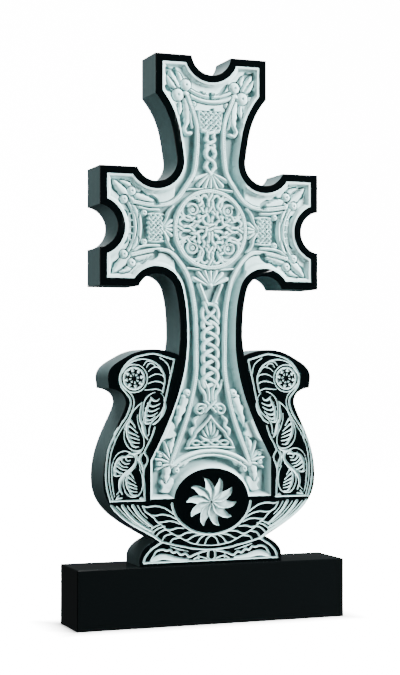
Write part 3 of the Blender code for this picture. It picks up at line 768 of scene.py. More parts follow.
    def shaft(self, relief: Relief) -> None:
        """The chain and knot of the top arm, and the stems, knot and plait of the shaft.

        Each of the plait's three strands swings by tanh(snap sin(wave)), so that it crosses steeply
        and turns in a flat bend.
        """
        z = np.linspace(1024, 926, 60)
        sway = np.interp(z, [926, 934, 957, 982, 998, 1012, 1024], [4, 9, 23, 8, 15, 7, 18])
        ways = np.interp(z, [926, 932, 979, 985, 1006, 1014, 1024], [-1, -1, 1, 1, -1, -1, 1])
        twist = sway * np.sin(np.clip(ways, -1, 1) * math.pi / 2)
        chain = [np.column_stack([side * twist, z]) for side in (1.0, -1.0)]
        inner = smooth([(-13, 936), (-8, 950), (7, 958), (11, 970), (3, 984)])
        weave(relief, chain + [inner, mirrored(inner)], 4.2, self.thread)
        relief.strand(smooth([(28, 658), (18, 634), (9, 612)]), 5.5, 13.6, pair=True)
        loop = smooth([(-19, 566), (-9, 580), (9, 596), (15, 615)])
        ring = arc((0, 588), (20.5, 24), 0, 360, 60)
        weave(relief, [ring, loop, mirrored(loop)], 4.2, self.plait)
        top, foot, period, swing, snap = 570, 416, 82.0, 18.5, 1.1
        z = np.linspace(top, foot, 150)
        strands = []
        for k in range(3):
            wave = (top - z) / period * 2 * math.pi + k * math.pi / 1.5
            x = swing * np.tanh(snap * np.sin(wave)) / np.tanh(snap)
            strands.append(np.column_stack([x, z]))
        weave(relief, strands, 5.0, self.plait)

    def palmette(self, relief: Relief) -> None:
        """The pair of volutes, and the tall leaf in its arch below the plait."""
        stem = smooth([(15, 428), (6, 408), (4, 392), (7, 378), (18, 366)])
        relief.strand(stem, 4.2, self.stem, pair=True)
        relief.strand(smooth([(30, 432), (24, 412), (14, 398), (12, 384)]), 4.0, self.thread,
                      Profile.VEINED, (0.3, 1.2, 0.9), pair=True)
        relief.strand(spiral((25, 361), (15.5, 3.0), 170, -1.35), 3.3, self.thread, pair=True)
        tie = smooth([(-13, 382), (0, 370), (13, 356)])
        relief.strand(tie, 3.6, 13.0, moat=1.2, bed=7.0)
        relief.strand(mirrored(tie), 3.6, self.stem, moat=1.2, bed=7.0)
        arch = smooth([(0, 346), (7, 336), (20, 322), (36, 308), (41, 298), (52, 286), (56, 276)])
        relief.strand(arch, 3.6, 13.0, pair=True)
        relief.strand(smooth([(30, 346), (40, 336), (38, 322), (48, 312), (46, 300)]), 4.6, 11.8,
                      Profile.VEINED, (0.4, 1.1, 0.7, 1.1, 0.5), pair=True)
        relief.leaf((0, 290), (0, 335), 0.0, 6.0, self.plait, pair=False)
        for tip, bow in (((10, 327), -2.0), ((19, 314), -3.0), ((26, 301), -3.5)):
            relief.leaf((3, 289), tip, bow, 4.0, 12.2)
        twine = np.linspace(-46, 46, 90)
        strands = [np.column_stack([twine, 283 + 5.5 * np.sin(twine / 7.6 + k * math.pi)])
                   for k in range(2)]
        weave(relief, strands, 2.7, 11.6, Profile.ROUND, gap=1.0)

    def fans(self, relief: Relief) -> None:
        """The four fans that open towards the medallion, and the bands beside them."""
        ray = {"taper": (0.35, 0.9, 1.1), "moat": 1.0, "bed": 6.0}
        for up in (1, -1):
            apex = np.array((0.0, self.slab.centre + 136 * up))
            for angle in range(-66, 67, 22):
                v = math.radians(angle)
                out = np.array((math.sin(v), -up * math.cos(v)))
                reach = 35 + 12 * abs(math.sin(v))
                relief.strand([apex + 5 * out, apex + 0.6 * reach * out, apex + reach * out], 5.2,
                              12.4, **ray)
            relief.ball(apex - (0, 3 * up), 7.0, self.stem, pair=False)
            band = self.level([(-58, 93), (-34, 95), (0, 97), (34, 95), (58, 93)], up)
            relief.strand(smooth(band), 3.0, self.rim)
        start = np.array((121.0, self.slab.centre))
        for angle in range(-62, 63, 25):
            v = math.radians(angle)
            out = np.array((-math.cos(v), math.sin(v)))
            relief.strand([start + 3 * out, start + 15 * out, start + (24 + 7 * abs(out[1])) * out],
                          4.3, self.rim, pair=True, **ray)
        for up in (1, -1):
            band = self.level([(122, 4), (113, 18), (104, 40), (94, 52)], up)
            relief.strand(smooth(band), 3.2, 12.4, pair=True)

    def medallion(self, relief: Relief) -> None:
        """The round of interlace at the crossing: ring, four arms, four coiled quarters."""
        middle = (0.0, self.slab.centre)
        relief.strand(arc(middle, (45, 46), 0, 360, 80), 46.0, 2.6, Profile.STRAP)
        relief.strand(arc(middle, (89, 91), 0, 360, 120), 5.4, 13.8, Profile.STRAP, moat=2.0,
                      bed=3.0)
        strands: list[np.ndarray] = []
        for turn in range(4):
            for flip in (1.0, -1.0):
                for chosen in MEDALLION:
                    x, z = np.array(chosen, dtype=float).T
                    x = x * flip
                    for _ in range(turn):
                        x, z = z, -x
                    strands.append(smooth(np.column_stack([x, middle[1] + z * 1.02]), 5))
        weave(relief, strands, 3.6, self.plait, gap=1.7, dip=0.35)
        for x in (45, -45):
            for z in (45, -45):
                spot = (x, middle[1] + z)
                way = 1.0 if x * z > 0 else -1.0
                coil = spiral(spot, (14.5, 6.0), 40 if x > 0 else 140, way * 1.15)
                relief.strand(coil, 3.5, self.plait, Profile.STRAP, moat=1.4, bed=4.0)
                relief.ball(spot, 6.4, self.rim, 2.6, pair=False)

    def top_corners(self, relief: Relief) -> None:
        """Leaves, stems and fruit in the top arm's corners."""
        for leaf in TOP_LEAVES:
            relief.leaf(*leaf)
        relief.strand(smooth([(62, 1034), (66, 1024), (60, 1014), (50, 1016)]), 5.0, self.stem,
                      pair=True, moat=1.2, bed=4.0)
        relief.strand(smooth([(61, 1104), (52, 1076), (50, 1046), (46, 1030)]), 2.8, self.plait,
                      pair=True, moat=1.0, bed=4.0)
        for fruit in TOP_FRUIT:
            relief.ball(*fruit)

    def arm_corners(self, relief: Relief) -> None:
        """Leaves, fruit and stems in the side arms' corners."""
        for up in (1, -1):
            for base, tip, bow, *rest in ARM_LEAVES:
                relief.leaf(*self.level([base, tip], up), bow * up, *rest)
            for middle, *rest in ARM_FRUIT:
                relief.ball(*self.level([middle], up), *rest)
            inner = self.level([(192, 56), (176, 46), (152, 42), (130, 42)], up)
            relief.strand(smooth(inner), 3.6, 13.0, pair=True)
            relief.strand(self.level([(112, 30), (104, 46)], up), 4.0, 11.0,
                          taper=(0.5, 1.2, 0.3), pair=True)

    def foot_corners(self, relief: Relief) -> None:
        """Ragged leaves, spread fingers and fruit in the corners of the field's foot."""
        for outline in FOOT_PLATEAUS:
            relief.plateau(outline, 10.0)
        for leaf in FOOT_LEAVES:
            relief.leaf(*leaf)
        for finger in FOOT_FINGERS:
            relief.strand(smooth(finger), 4.2, self.stem, taper=(0.8, 1.0, 1.3, 0.5), pair=True,
                          moat=1.5, bed=2.0)
        for fruit in FOOT_FRUIT:
            relief.ball(*fruit)


# The wings' lines on the right: borders, the boss's scales, stems, the leaves' lobes and spines.
WING_OUTER = (
    (94.7, 479.5), (136.5, 492.3), (152, 493.5), (171.4, 490), (192, 484), (208.6, 472.6),
    (220, 458.6), (227, 444.7), (227.7, 430.7), (223.7, 416.7), (213.3, 402.8), (204, 391),
    (201, 379.5), (204, 365.6), (211, 349), (222.6, 333), (234, 314.4), (245.8, 293.5),
    (254, 272.6), (258.6, 249.3), (261, 226), (261, 202.8), (258, 180), (250, 152))
WING_INNER = (
    (224, 424), (209, 408), (197, 395), (193, 380), (197, 362), (205, 346), (217, 328),
    (230, 308), (240, 288), (247.5, 268), (251.5, 247), (253.5, 226), (253.5, 203), (250.5, 180),
    (243.5, 153))
WING_EDGES = (
    ((94.7, 477), (100.5, 451.6), (107.4, 423.7), (113.3, 395.8), (119, 372.6), (124.9, 351.6),
     (133, 337.7), (146, 329)),
    ((142, 322), (150.5, 298), (162, 277), (169, 263)),
    ((168, 264), (160, 250), (162, 238), (168, 226), (170, 208), (168, 190), (167, 153)),
    ((166, 153), (246, 153)))
WING_SHOULDER = (
    (104.4, 447), (107, 461), (113.3, 472.6), (129.5, 484.2))
WING_ROUND = (
    (122.6, 402.8), (117.4, 430.7), (120.2, 447), (129.5, 463.3), (145.8, 474.9), (166.7, 481),
    (190, 478), (207, 468), (221, 450))
WING_SCALES = (
    ((170, 466), (163, 475), (156, 476)),
    ((163, 461), (157, 470), (148, 471), (141, 464)),
    ((158, 452), (150.5, 459), (139, 463), (129.5, 459), (125, 451)),
    ((157, 438), (150.5, 442), (139, 446), (127, 444.5), (119, 440)),
    ((160, 423), (150.5, 427), (139, 429), (127, 427), (119, 421)),
    ((167, 409), (150.5, 410), (136.5, 411), (122.6, 405)))
WING_STEMS = (
    ((127, 402), (118, 388), (119, 372.6), (127, 356), (139, 344), (150.5, 333), (156, 317),
     (157, 305), (164, 300.5)),
    ((141, 404), (155, 398), (167, 384), (171, 363), (170, 343), (164, 329)),
    ((202, 343), (197, 357), (185, 371), (173, 380)),
    ((200, 348), (213, 326), (217, 310), (216, 293.5), (209, 279.5), (197, 270), (183, 268),
     (172, 273), (168, 286.5), (171, 303), (178, 317), (183, 331), (185, 342), (184, 352)),
    ((243.5, 247), (234, 261), (218, 268), (202, 264), (190, 254), (187, 240), (195, 227),
     (209, 219), (221.5, 208), (228, 194), (228, 178), (236, 168)),
    ((243.5, 245), (247, 231), (247, 210), (244, 180), (240, 163)),
    ((208.5, 222), (216, 208), (219, 194), (217, 182), (212, 171), (203, 163), (190, 162),
     (179, 168), (173, 180), (172, 193), (174, 211.5), (180, 226)),
    ((176, 262), (181, 250), (180, 236), (175, 224)))
WING_LEAVES = (
    (((152, 392), (144, 384), (136, 384), (131, 389)), ((160, 378), (150, 371), (140, 372),
     (129, 377)), ((165, 367), (154, 360), (143, 361), (131, 367)), ((167, 356), (157, 349),
     (146, 350), (135, 357)), ((167, 345), (158, 339), (149, 341), (141, 348)), ((165, 334),
     (159, 331), (153, 334))),
    (((203, 341), (197, 333), (190, 322)), ((211, 330), (203, 325), (193, 317), (184, 309)),
     ((213, 318), (203, 311), (192, 306), (181, 300)), ((211, 306), (203, 301), (192, 297),
     (180, 293)), ((207, 295), (199, 290), (190, 287), (180, 286)), ((200, 283), (191, 277),
     (182, 278))),
    (((197, 254), (205, 258), (213, 252), (209, 245), (202, 247)), ((222, 257), (223, 247),
     (215, 239), (204, 239)), ((232, 251), (230, 242), (221, 233), (208, 230)), ((239, 240),
     (232, 233), (222, 226), (210, 223)), ((242, 228), (235, 223), (226, 218), (216, 215)),
     ((242, 214), (234, 211), (225, 213))))
WING_SPINES = (
    (((174, 380), (178, 354), (176, 336), (168, 322), (164, 306)), 3.0),
    (((190, 258), (188, 242), (198, 227), (214, 215), (225, 201), (228, 185), (222, 169)), 4.2),
    (((168, 340), (172, 324), (167, 308), (160, 295)), 3.4),
    (((119, 386), (116, 370), (122, 352), (131, 340)), 2.4),
    (((205, 262), (190, 262), (178, 266), (170, 276)), 2.6),
    (((172, 262), (178, 248), (172, 232), (170, 214)), 2.2))
WING_NICKS = (
    ((232, 322), (241, 309), (240, 290)),
    ((196, 262), (186, 258), (183, 246)),
    ((174, 160), (178, 157), (171, 157)),
    ((222, 160), (236, 158), (230, 166)))


@dataclass
class Wings:
    """The line carving of the two wings, drawn on the right and mirrored."""

    fine: float = 1.2
    leafy: float = 1.6
    bold: float = 1.9
    boss_centre: Pair = (193.0, 436.0)

    def carve(self, relief: Relief) -> None:
        """Cut the outer lines, the boss, its scales and the leafy scroll."""
        self.borders(relief)
        self.boss(relief)
        self.scroll(relief)

    def borders(self, relief: Relief) -> None:
        """The bold line along the outer edge, its thin companion and the inner edge."""
        relief.line(smooth(WING_OUTER, 4), self.bold, pair=True)
        relief.line(smooth(WING_INNER, 4), self.fine, pair=True)
        for edge in WING_EDGES:
            relief.line(smooth(edge) if len(edge) > 2 else edge, self.bold, pair=True)
        relief.line(smooth(WING_SHOULDER), self.fine, pair=True)
        relief.line(smooth(WING_ROUND), 1.7, pair=True)

    def boss(self, relief: Relief) -> None:
        """The pale disc with its eight-armed star, and the fan of scales beside it."""
        hub = np.array(self.boss_centre)
        relief.line(arc(hub, (32.5, 32.5), 0, 360, 60), 1.25, pair=True)
        islands = np.full(relief.cut.shape, Relief.OUTSIDE)
        for angle in range(0, 360, 45):
            v = math.radians(angle + 12)
            ahead = np.array((math.cos(v), math.sin(v)))
            across = np.array((-math.sin(v), math.cos(v)))
            relief.line([hub, hub + 20.5 * ahead], 2.1, target=islands, pair=True)
            for way in (1.0, -1.0):
                bar = [hub + reach * ahead + way * side * across
                       for reach, side in ((12.5, -4.6), (21.5, 4.8))]
                relief.line(bar, 1.75, target=islands, pair=True)
        relief.panel(arc(hub, (27.2, 27.2), 360, 6, 60), pair=True, islands=islands)
        for scale in WING_SCALES:
            relief.line(smooth(scale), self.fine, taper=(0.6, 1.1, 0.9), pair=True)

    def scroll(self, relief: Relief) -> None:
        """The four lobed leaves and the stem that curls round them.

        The last leaf is the middle one at 0.86 of its size, moved down and in.
        """
        for stem in WING_STEMS:
            relief.line(smooth(stem), self.fine, taper=(0.5, 1.1, 1.1, 1.1, 0.6), pair=True)
        last = [[(197 + 0.86 * (x - 194), 191 + 0.86 * (z - 307)) for x, z in lobe]
                for lobe in WING_LEAVES[1]]
        for leaf in (*WING_LEAVES, last):
            width = 1.4 if leaf is last else self.leafy
            for lobe in leaf:
                relief.line(smooth(lobe, 4), width, taper=(0.9, 1.6, 1.1, 0.9, 0.5), pair=True)
            ground = [np.array(lobe[0]) * 0.7 + np.array(lobe[1]) * 0.3 for lobe in leaf]
            relief.line(smooth(ground), 1.9 * width, taper=(0.5, 1.0, 1.0, 0.6), pair=True)
        for spine, width in WING_SPINES:
            relief.line(smooth(spine), width, taper=(0.4, 1.0, 1.0, 0.4), pair=True)
        for nick in WING_NICKS:
            relief.line(nick, self.leafy, pair=True)


# The base's lines on the right: bands with their half widths, scales, and the foot's wavy line.
BASE_BANDS = (
    (((247, 141), (235, 129), (220, 114.5), (200, 100.5), (176, 87), (152, 74), (137, 64),
     (126, 56)), 3.7),
    (((221, 141), (206, 122), (188, 105), (168, 91.5), (148, 80)), 3.2),
    (((196, 141), (183, 122), (166, 106), (146, 89)), 3.2),
    (((235, 141), (213, 119), (190, 100), (163, 84.5)), 1.1),
    (((209, 141), (196, 124), (177, 106), (155, 91)), 1.1),
    (((184, 141), (174, 125), (160, 111)), 1.1),
    (((172, 140), (164, 126), (153, 119), (144, 111.5), (136, 102), (123, 93), (114, 84),
     (99, 74), (83, 65), (68, 58), (49, 49), (24, 44), (0, 42)), 1.6))
BASE_SCALES = (
    ((168, 139), (160, 137), (142, 139), (123, 135.6), (108.5, 128), (96, 119)),
    ((150, 118), (138, 117), (123, 119), (105, 115), (89, 107)),
    ((134, 101), (123, 101), (108, 103), (94, 101), (80, 95)),
    ((112, 84), (101, 82.5), (86, 86), (70, 84.5)),
    ((92, 70), (79, 67.5), (64, 74), (46, 75)),
    ((68, 57), (58.5, 58), (44, 66), (24, 69)),
    ((40, 47), (36, 50), (27, 61), (15, 68)),
    ((18, 44), (16, 49), (11, 59), (0, 66)),
    ((158, 76), (152, 84), (142, 91), (130, 95)),
    ((149, 69), (144, 79), (133, 87), (117, 91)),
    ((140, 63), (134, 74), (121, 82), (108, 83)),
    ((124, 57), (116, 69), (96, 73)),
    ((104, 50), (98, 60), (80, 63)))
FOOT_ARCH = (
    (-127, 56), (-105, 50), (-86, 45), (-65, 41), (-49, 37), (-21.5, 34), (0, 33), (21.5, 34),
    (49, 37), (65, 41), (86, 45), (105, 50), (127, 56))
FOOT_WAVE = (
    (150, 15), (146, 22), (138, 33), (128, 37), (120, 37), (112, 34), (104, 36), (96, 28.5),
    (87, 31), (77, 23), (66, 25.5), (56, 17.5), (46, 21), (38, 24), (26, 27.5), (12, 30))


@dataclass
class Base:
    """The bands below the bar, the scales round the rosette, and the foot's panel."""

    fine: float = 1.6

    def carve(self, relief: Relief) -> None:
        """Cut the bands, the scales and the panel of the foot."""
        for path, width in BASE_BANDS:
            relief.line(smooth(path), width, taper=(1.1, 1.0, 0.9, 0.7), pair=True)
        for path in BASE_SCALES:
            relief.line(smooth(path), self.fine, taper=(0.7, 1.1, 1.1, 0.8), pair=True)
        relief.line(smooth(FOOT_ARCH), 2.0)
        relief.line(arc((0, 149), (99.5, 80.5), 184, 356, 80), 2.7)
        self.foot_panel(relief)

    def foot_panel(self, relief: Relief) -> None:
        """The half-round panel: outline, wavy line, pale mounds, centre bead."""
        rim = smooth([(169, 8), (167, 17), (160, 28), (149, 39), (134, 48.5), (123, 55)])
        relief.line(rim, 2.2, pair=True)
        relief.line([(-169, 8), (169, 8)], 2.2)
        relief.line(smooth(FOOT_WAVE, 4), 2.1, taper=(0.8, 1.2, 1.2, 0.9), pair=True)
        relief.line(smooth([(150, 12), (138, 17), (122, 21), (104, 18), (88, 14), (60, 12)]), 5.4,
                    taper=(0.5, 1.1, 1.3, 1.2, 0.9, 0.5), pair=True)
        relief.line(smooth([(58, 30), (84, 37), (104, 43)]), 1.3, taper=(0.3, 1.2, 0.4), pair=True)
        relief.line([(33, 13), (33, 22)], 1.8, pair=True)
        relief.line(smooth([(12, 12), (30, 17), (44, 12)]), 1.5, pair=True)
        bead = np.full(relief.cut.shape, Relief.OUTSIDE)
        relief.line([(0, 17), (0, 25)], 6.5, target=bead)
        relief.panel(arc((0, 21), (11.5, 12.5), 360, 8, 40), islands=bead)


@dataclass
class Rosette:
    """The ten-petalled whirl on the black disc."""

    centre: Pair = (0.0, 144.5)
    radii: Pair = (64.0, 60.0)
    petals: int = 10
    depth: float = 6.4
    rise: float = 0.85
    wall: float = 2.2
    # painted shade: how wide the shaded band along each petal's first edge is
    band: float = 7.0

    def carve(self, relief: Relief) -> None:
        """Sink the petals, each a sloped plane.

        In the disc's own polar measure a petal lies between two curved edges, given by their angle
        at each share of the radius. u is the angle past the first edge, counted round the petals.
        The depth falls across the petal from the second edge to the first, and a band along the
        first edge gets painted shade.
        """
        middle = np.array(self.centre)
        spot = relief.window(middle - self.radii, middle + self.radii, 3.0)
        x = (relief.x[None, spot[1]] - self.centre[0]) / self.radii[0]
        z = (relief.z[spot[0], None] - self.centre[1]) / self.radii[1]
        r = np.hypot(x, z)
        angle = np.degrees(np.arctan2(z, x))
        step = 360.0 / self.petals
        shares = [0.0, 0.2, 0.33, 0.45, 0.57, 0.65, 0.8, 0.9, 1.0, 1.1]
        first = np.interp(r, shares, [-39, -40.5, -40.5, -36, -29, -24.5, -17, -11, 0, 6])
        last = np.interp(r, shares, [-3, -4.5, -4.5, 0, 7, 3.5, 0.3, 0, 0, -6])
        u = (angle - first) % step
        span = last - first
        reach = np.radians(1.0) * r * self.radii[0]
        rise = self.rise * (u * reach - 0.5)
        wall = self.wall * ((span - u) * reach - 0.5)
        ramp = np.clip(1.0 - u / np.maximum(span, 1.0), 0.0, 1.0)
        sunk = np.minimum(np.minimum(rise, wall), 1.0 + (self.depth - 1.0) * ramp)
        sunk = np.where((r > 1.0) | (span <= 0.0), Relief.OUTSIDE, np.maximum(sunk, Relief.OUTSIDE))
        np.maximum(relief.cut[spot], sunk, out=relief.cut[spot])
        # painted shade: a band along each petal's first edge, darkened in the material
        band = np.clip(self.band * (1.0 - r ** 6) - u * reach, 0.0, 1.0) * (sunk > 0.0)
        np.maximum(relief.shade[spot], band, out=relief.shade[spot])


def blurred(values: np.ndarray, reach: int) -> np.ndarray:
    """The mean over a square window, from running sums along each axis in turn."""
    out = values
    for axis in (0, 1):
        pad = [(0, 0), (0, 0)]
        pad[axis] = (reach + 1, reach)
        total = np.cumsum(np.pad(out, pad, mode="edge"), axis=axis)
        high = np.take(total, np.arange(2 * reach + 1, total.shape[axis]), axis=axis)
        low = np.take(total, np.arange(0, total.shape[axis] - 2 * reach - 1), axis=axis)
        out = (high - low) / (2 * reach + 1)
    return out


def new_object(name: str, points: np.ndarray, loops: np.ndarray,
               sizes: np.ndarray) -> bpy.types.Object:
    """A mesh object from whole arrays.

    Args:
        name: the object's name.
        points: one row for each vertex, in metres.
        loops: the faces' vertex numbers, one after another.
        sizes: how many of them each face takes.

    Returns:
        The object, linked to the scene.
    """
    mesh = bpy.data.meshes.new(name)
    mesh.vertices.add(len(points))
    mesh.vertices.foreach_set("co", np.ascontiguousarray(points, dtype=np.float32).ravel())
    mesh.loops.add(len(loops))
    mesh.loops.foreach_set("vertex_index", np.ascontiguousarray(loops, dtype=np.int32))
    mesh.polygons.add(len(sizes))
    starts = np.concatenate([[0], np.cumsum(sizes)[:-1]]).astype(np.int32)
    mesh.polygons.foreach_set("loop_start", starts)
    mesh.update(calc_edges=True)
    mesh.validate()
    made = bpy.data.objects.new(name, mesh)
    bpy.context.scene.collection.objects.link(made)
    return made


def applied(made: bpy.types.Object) -> bpy.types.Object:
    """The object with its modifiers worked into its mesh."""
    graph = bpy.context.evaluated_depsgraph_get()
    mesh = bpy.data.meshes.new_from_object(made.evaluated_get(graph))
    made.modifiers.clear()
    made.data = mesh
    return made


@dataclass
class Stele:
    """The carved slab: a chamfered prism less one block of air whose face is the height field."""

    slab: Slab = field(default_factory=Slab)
    foot: float = 140.3
    chamfer: float = 0.9
    step: float = 0.95
    triangles: int = 168000
    sharp: float = 36.0
    clearance: float = 12.0
    skin: float = 0.6
    # painted shade: how much the rosette's shaded band adds to the hollow
    rough: float = 6.0
    # the windows over which the hollow for the painted shade is measured
    windows: tuple[Pair, ...] = ((1.1, 2.6), (0.5, 6.0), (0.3, 16.0))

    def place(self, x: np.ndarray, y: np.ndarray, z: np.ndarray) -> np.ndarray:
        """Drawing millimetres, with y measured from the slab's middle, as points in metres."""
        return np.column_stack([x, y, z + self.foot]) * MILLIMETRE

    def prism(self) -> bpy.types.Object:
        """The slab: rings at the chamfers of its two faces, joined by quads and closed by caps."""
        edge = self.slab.outline()
        small = inset(edge, self.chamfer)
        half = self.slab.thickness / 2
        rings = ((small, -half), (edge, self.chamfer - half), (edge, half - self.chamfer),
                 (small, half))
        points = np.vstack([self.place(r[:, 0], np.full(len(r), y), r[:, 1]) for r, y in rings])
        n = len(edge)
        i = np.arange(n)
        j = (i + 1) % n
        bands = [np.column_stack([k * n + i, k * n + j, (k + 1) * n + j, (k + 1) * n + i])
                 for k in range(3)]
        loops = np.concatenate([np.vstack(bands).ravel(), i[::-1], 3 * n + i])
        sizes = np.concatenate([np.full(3 * n, 4), [n, n]])
        made = new_object("carved_stele", points, loops, sizes)
        kinds = np.concatenate([np.full(n, Face.POLISHED.value), np.full(2 * n, Face.SAWN.value),
                                [Face.POLISHED.value, Face.BACK.value]])
        made.data.polygons.foreach_set("material_index", kinds.astype(np.int32))
        return made

    def air(self, relief: Relief, depth: np.ndarray) -> bpy.types.Object:
        """The block of air before the carving: the height field, a skirt, and a flat front."""
        rows, cols = depth.shape
        x, z = np.meshgrid(relief.x, relief.z)
        half = self.slab.thickness / 2
        number = np.arange(rows * cols).reshape(rows, cols)
        rim = np.concatenate([number[0, :-1], number[:-1, -1], number[-1, :0:-1], number[:0:-1, 0]])
        field_points = self.place(x.ravel(), depth.ravel() - half, z.ravel())
        front = field_points[rim].copy()
        front[:, 1] = -(half + self.clearance) * MILLIMETRE
        middle = np.array([[0.0, front[0, 1], (self.foot + self.slab.height / 2) * MILLIMETRE]])
        a, b = number[:-1, :-1].ravel(), number[:-1, 1:].ravel()
        c, d = number[1:, 1:].ravel(), number[1:, :-1].ravel()
        surface = np.vstack([np.column_stack([a, c, b]), np.column_stack([a, d, c])])
        ring = rows * cols + np.arange(len(rim))
        after = np.roll(ring, -1)
        skirt = np.vstack([np.column_stack([rim, np.roll(rim, -1), after]),
                           np.column_stack([rim, after, ring])])
        hub = np.full(len(rim), rows * cols + len(rim))
        cap = np.column_stack([ring, after, hub])
        faces = np.vstack([surface, skirt, cap])
        return new_object("air", np.vstack([field_points, front, middle]), faces.ravel(),
                          np.full(len(faces), 3))

    def depth(self, relief: Relief) -> tuple[np.ndarray, np.ndarray]:
        """Carve everything, and join the field, its relief and the line carving.

        Returns:
            The depth below the face, and how far each point belongs to the field's bare ground,
            which the carved material darkens as painted shade.
        """
        bare = CrossField(self.slab).carve(relief)
        Wings().carve(relief)
        Base().carve(relief)
        Rosette().carve(relief)
        carved = np.maximum(bare - relief.raised, np.minimum(bare, self.skin))
        # painted shade: marks the field's deep floor to be coloured darker
        ground = np.clip((carved - 12.0) / 3.0, 0.0, 1.0) * (bare > 13.5)
        return np.maximum(np.where(bare > 0.0, carved, bare), relief.cut), ground

    def build(self) -> bpy.types.Object:
        """Carve the slab and bring it down to its share of triangles."""
        relief = Relief(self.slab, self.step)
        depth, ground = self.depth(relief)
        stele = self.prism()
        air = self.air(relief, depth)
        for kind in Face:
            material = bpy.data.materials.new(kind.name)
            stele.data.materials.append(material)
            air.data.materials.append(material)
        carved = np.full(len(air.data.polygons), Face.CARVED.value, dtype=np.int32)
        air.data.polygons.foreach_set("material_index", carved)
        thin = air.modifiers.new("thin", "DECIMATE")
        thin.ratio = self.triangles / len(air.data.polygons)
        thin.use_collapse_triangulate = True
        applied(air)
        carve = stele.modifiers.new("carve", "BOOLEAN")
        carve.operation, carve.solver, carve.object = "DIFFERENCE", "MANIFOLD", air
        applied(stele)
        bpy.data.objects.remove(air)
        stele.data.shade_smooth()
        stele.data.set_sharp_from_angle(angle=math.radians(self.sharp))
        self.mark(stele.data, relief, depth, ground)
        return stele

    def mark(self, mesh: bpy.types.Mesh, relief: Relief, depth: np.ndarray,
             ground: np.ndarray) -> None:
        """Give each vertex its hollow and its share of ground, read from the grid round it. Both
        drive painted shade in the carved material.

        The hollow is how far the surface lies below its mean depth over three windows, and more
        where the rosette's petals get their painted shade band. Both layers are weighed between the
        grid's four nearest points.
        """
        # painted shade: the hollow darkens the carving in its material
        held = np.clip(depth, 0.0, None)
        hollow = sum(share * (held - blurred(held, round(reach / self.step)))
                     for share, reach in self.windows) + self.rough * relief.shade
        co = np.empty(len(mesh.vertices) * 3, dtype=np.float32)
        mesh.vertices.foreach_get("co", co)
        co = co.reshape(-1, 3) / MILLIMETRE
        u = np.clip((co[:, 0] - relief.x[0]) / self.step, 0, len(relief.x) - 1.001)
        v = np.clip((co[:, 2] - self.foot - relief.z[0]) / self.step, 0, len(relief.z) - 1.001)
        col, row = u.astype(int), v.astype(int)
        du, dv = u - col, v - row
        for name, values in (("hollow", hollow), ("ground", ground)):
            low, high = (values[line, col] * (1 - du) + values[line, col + 1] * du
                         for line in (row, row + 1))
            near = low * (1 - dv) + high * dv
            layer = mesh.attributes.new(name, "FLOAT", "POINT")
            layer.data.foreach_set("value", near.astype(np.float32))

    def dress(self, stele: bpy.types.Object, finishes: dict[Face, bpy.types.Material]) -> None:
        """Give each kind of face its finish, and tie the piece to the frame."""
        for i, placeholder in enumerate(stele.data.materials):
            stele.data.materials[i] = finishes[Face[placeholder.name.split(".")[0]]]
        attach(stele, "root")
        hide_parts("stele")


class Signal:
    """A shader socket that can stand in sums and products."""

    def __init__(self, graph: Graph, socket: bpy.types.NodeSocket) -> None:
        """Wrap a socket of the graph."""
        self.graph, self.socket = graph, socket

    def combine(self, operation: str, first: Signal | float,
                second: Signal | float) -> Signal:
        """One Math node on two values."""
        return self.graph.node("ShaderNodeMath", {"operation": operation}, {0: first, 1: second})

    def __add__(self, other: Signal | float) -> Signal:
        """The sum."""
        return self.combine("ADD", self, other)

    __radd__ = __add__

    def __sub__(self, other: Signal | float) -> Signal:
        """The difference."""
        return self.combine("SUBTRACT", self, other)

    def __rsub__(self, other: Signal | float) -> Signal:
        """The difference the other way round."""
        return self.combine("SUBTRACT", other, self)

    def __mul__(self, other: Signal | float) -> Signal:
        """The product."""
        return self.combine("MULTIPLY", self, other)

    __rmul__ = __mul__

    def absolute(self) -> Signal:
        """The value without its sign."""
        return self.graph.node("ShaderNodeMath", {"operation": "ABSOLUTE"}, {0: self})

    def held(self, low: float, high: float) -> Signal:
        """The value held between two limits."""
        return self.combine("MINIMUM", self.combine("MAXIMUM", self, low), high)


